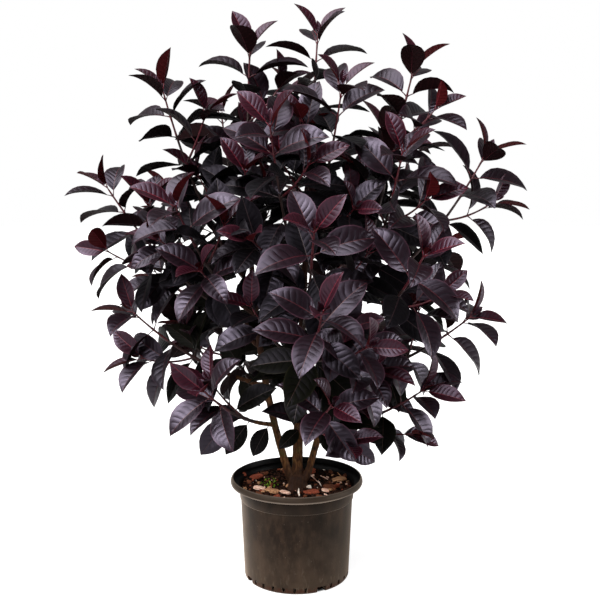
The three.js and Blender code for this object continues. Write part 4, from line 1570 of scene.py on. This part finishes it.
def makeLeaves():
    shapes = bpy.data.collections.new("leaf shapes")
    numbers = {kind: [] for kind in leafShapes}
    for n, (kind, row) in enumerate((kind, row) for kind, rows in leafShapes.items() for row in rows):
        numbers[kind].append(n)
        newObject(f"leaf_{n:02d}", leafMesh(f"leaf_{n:02d}", *row), shapes)
    tree = leafTree(leafFinishes)
    rand = random.Random(growthRule["seed"])
    for pieceName, masses in crownTiers.items():
        own = [leaf for leaf in crown["leaves"] if leaf["mass"] in masses]
        tones = [leafTone(leaf, rand) for leaf in own]
        kinds = ["old" if tone >= 3 else leaf["shape"] for leaf, tone in zip(own, tones)]
        marks = {
            "leafTone": tones,
            "leafShape": [rand.choice(numbers[kind]) for kind in kinds],
            "leafScale": [leaf["size"] for leaf in own],
            "leafTurn": [c for leaf in own for c in leaf["turn"]],
        }
        piece = newObject(pieceName, newMesh(pieceName, [leaf["foot"] * mm for leaf in own], []))
        for name, values in marks.items():
            markPoints(piece.data, name, leafMarks[name], values)
        runTree(piece, tree, {"Leaf shapes": shapes, "Leaf size": 1.0})
        finishPiece(piece, "foliage", *["foliage_" + name for name in masses])
        triangles = sum(len(face.vertices) - 2 for face in piece.data.polygons)
        print(pieceName, "made:", len(own), "leaves,", triangles, "triangles")
    removeCollection(shapes)


makeLeaves()


# Stage and light

lighting = {
    "floorSize": 14,
    "floorGlow": 0.85,
    "floorShade": (0.073, 0.077),  # the floor stays dark under the pot, out to here
    "softbox": (-0.46, -0.38, 0.8),  # towards the wide light overhead
    "boxEdge": (0.62, 0.93),
    "boxStrength": 5.4,
    "room": 0.03,  # what the dark room behind the camera still gives
    "sweep": 0.22,  # the white paper behind the plant
    "sweepEdge": (-0.25, 0.9),
    "aim": (0, 0, 0.5),
    "lamps": {  # place, power and size
        "key": ((-1.7, -2.0, 2.6), 50, 1.3),
        "side": ((2.2, -0.6, 0.5), 36, 1.2),
    },
}


# White paper, exposed until only the faintest shadow is left, but for the floor under the pot
def makeStage():
    half = lighting["floorSize"] / 2
    corners = [(-half, -half, 0), (half, -half, 0), (half, half, 0), (-half, half, 0)]
    floor = newObject("floor", newMesh("floor", corners, [(0, 1, 2, 3)]))
    material, tree, place = newMaterial("white paper")
    fibre = addNode(tree, "ShaderNodeTexNoise", {"Vector": place, "Scale": 3, "Detail": 2})
    tint = addNode(tree, "ShaderNodeValToRGB", {"stops": [(0.3, "#a9a8a8"), (0.7, "#adadad")], 0: fibre})
    out = addNode(tree, "ShaderNodeVectorMath", {"operation": "LENGTH", 0: place}, "Value")
    clear = addNode(tree, "ShaderNodeMapRange", {
        0: out, "span": (*lighting["floorShade"], 0, lighting["floorGlow"]),
    })
    seen = addNode(tree, "ShaderNodeLightPath", output="Is Camera Ray")
    glow = addNode(tree, "ShaderNodeMath", {"operation": "MULTIPLY", 0: seen, 1: clear})
    floor.data.materials.append(finishMaterial(material, {
        "Base Color": tint, "Roughness": 0.9, "IOR": 1.5, "Emission Strength": glow, "Emission Color": "#ffffff",
    }))


def makeLights():
    world = bpy.data.worlds.new("studio")
    world.use_nodes = True
    scene.world = world
    tree = world.node_tree
    view = addNode(tree, "ShaderNodeTexCoord", output="Generated")
    toBox = addNode(tree, "ShaderNodeVectorMath", {
        "operation": "DOT_PRODUCT", 0: view, 1: Vector(lighting["softbox"]).normalized(),
    }, "Value")
    box = addNode(tree, "ShaderNodeMapRange", {
        "interpolation_type": "SMOOTHSTEP", 0: toBox, "span": (*lighting["boxEdge"], 0, lighting["boxStrength"]),
    })
    ahead = addNode(tree, "ShaderNodeSeparateXYZ", {0: view}, "Y")
    sweep = addNode(tree, "ShaderNodeMapRange", {
        "interpolation_type": "SMOOTHSTEP", 0: ahead,
        "span": (*lighting["sweepEdge"], lighting["room"], lighting["sweep"]),
    })
    given = addNode(tree, "ShaderNodeMath", {"operation": "ADD", 0: box, 1: sweep})
    # the backdrop itself is seen plain white from everywhere
    seen = addNode(tree, "ShaderNodeLightPath", output="Is Camera Ray")
    strength = addNode(tree, "ShaderNodeMix", {"data_type": "FLOAT", 0: seen, 2: given, 3: 1.0})
    feed(tree.nodes["Background"], {"Strength": strength, "Color": "#ffffff"})
    for name, (place, power, size) in lighting["lamps"].items():
        light = bpy.data.lights.new(name, "AREA")
        light.energy = power
        light.size = size
        lamp = newObject(name, light)
        lamp.location = place
        lamp.rotation_euler = (Vector(lighting["aim"]) - lamp.location).to_track_quat("-Z", "Y").to_euler()


makeStage()
makeLights()
scene.view_settings.view_transform = "Standard"
scene.view_settings.look = "None"
print("stage and lights made")
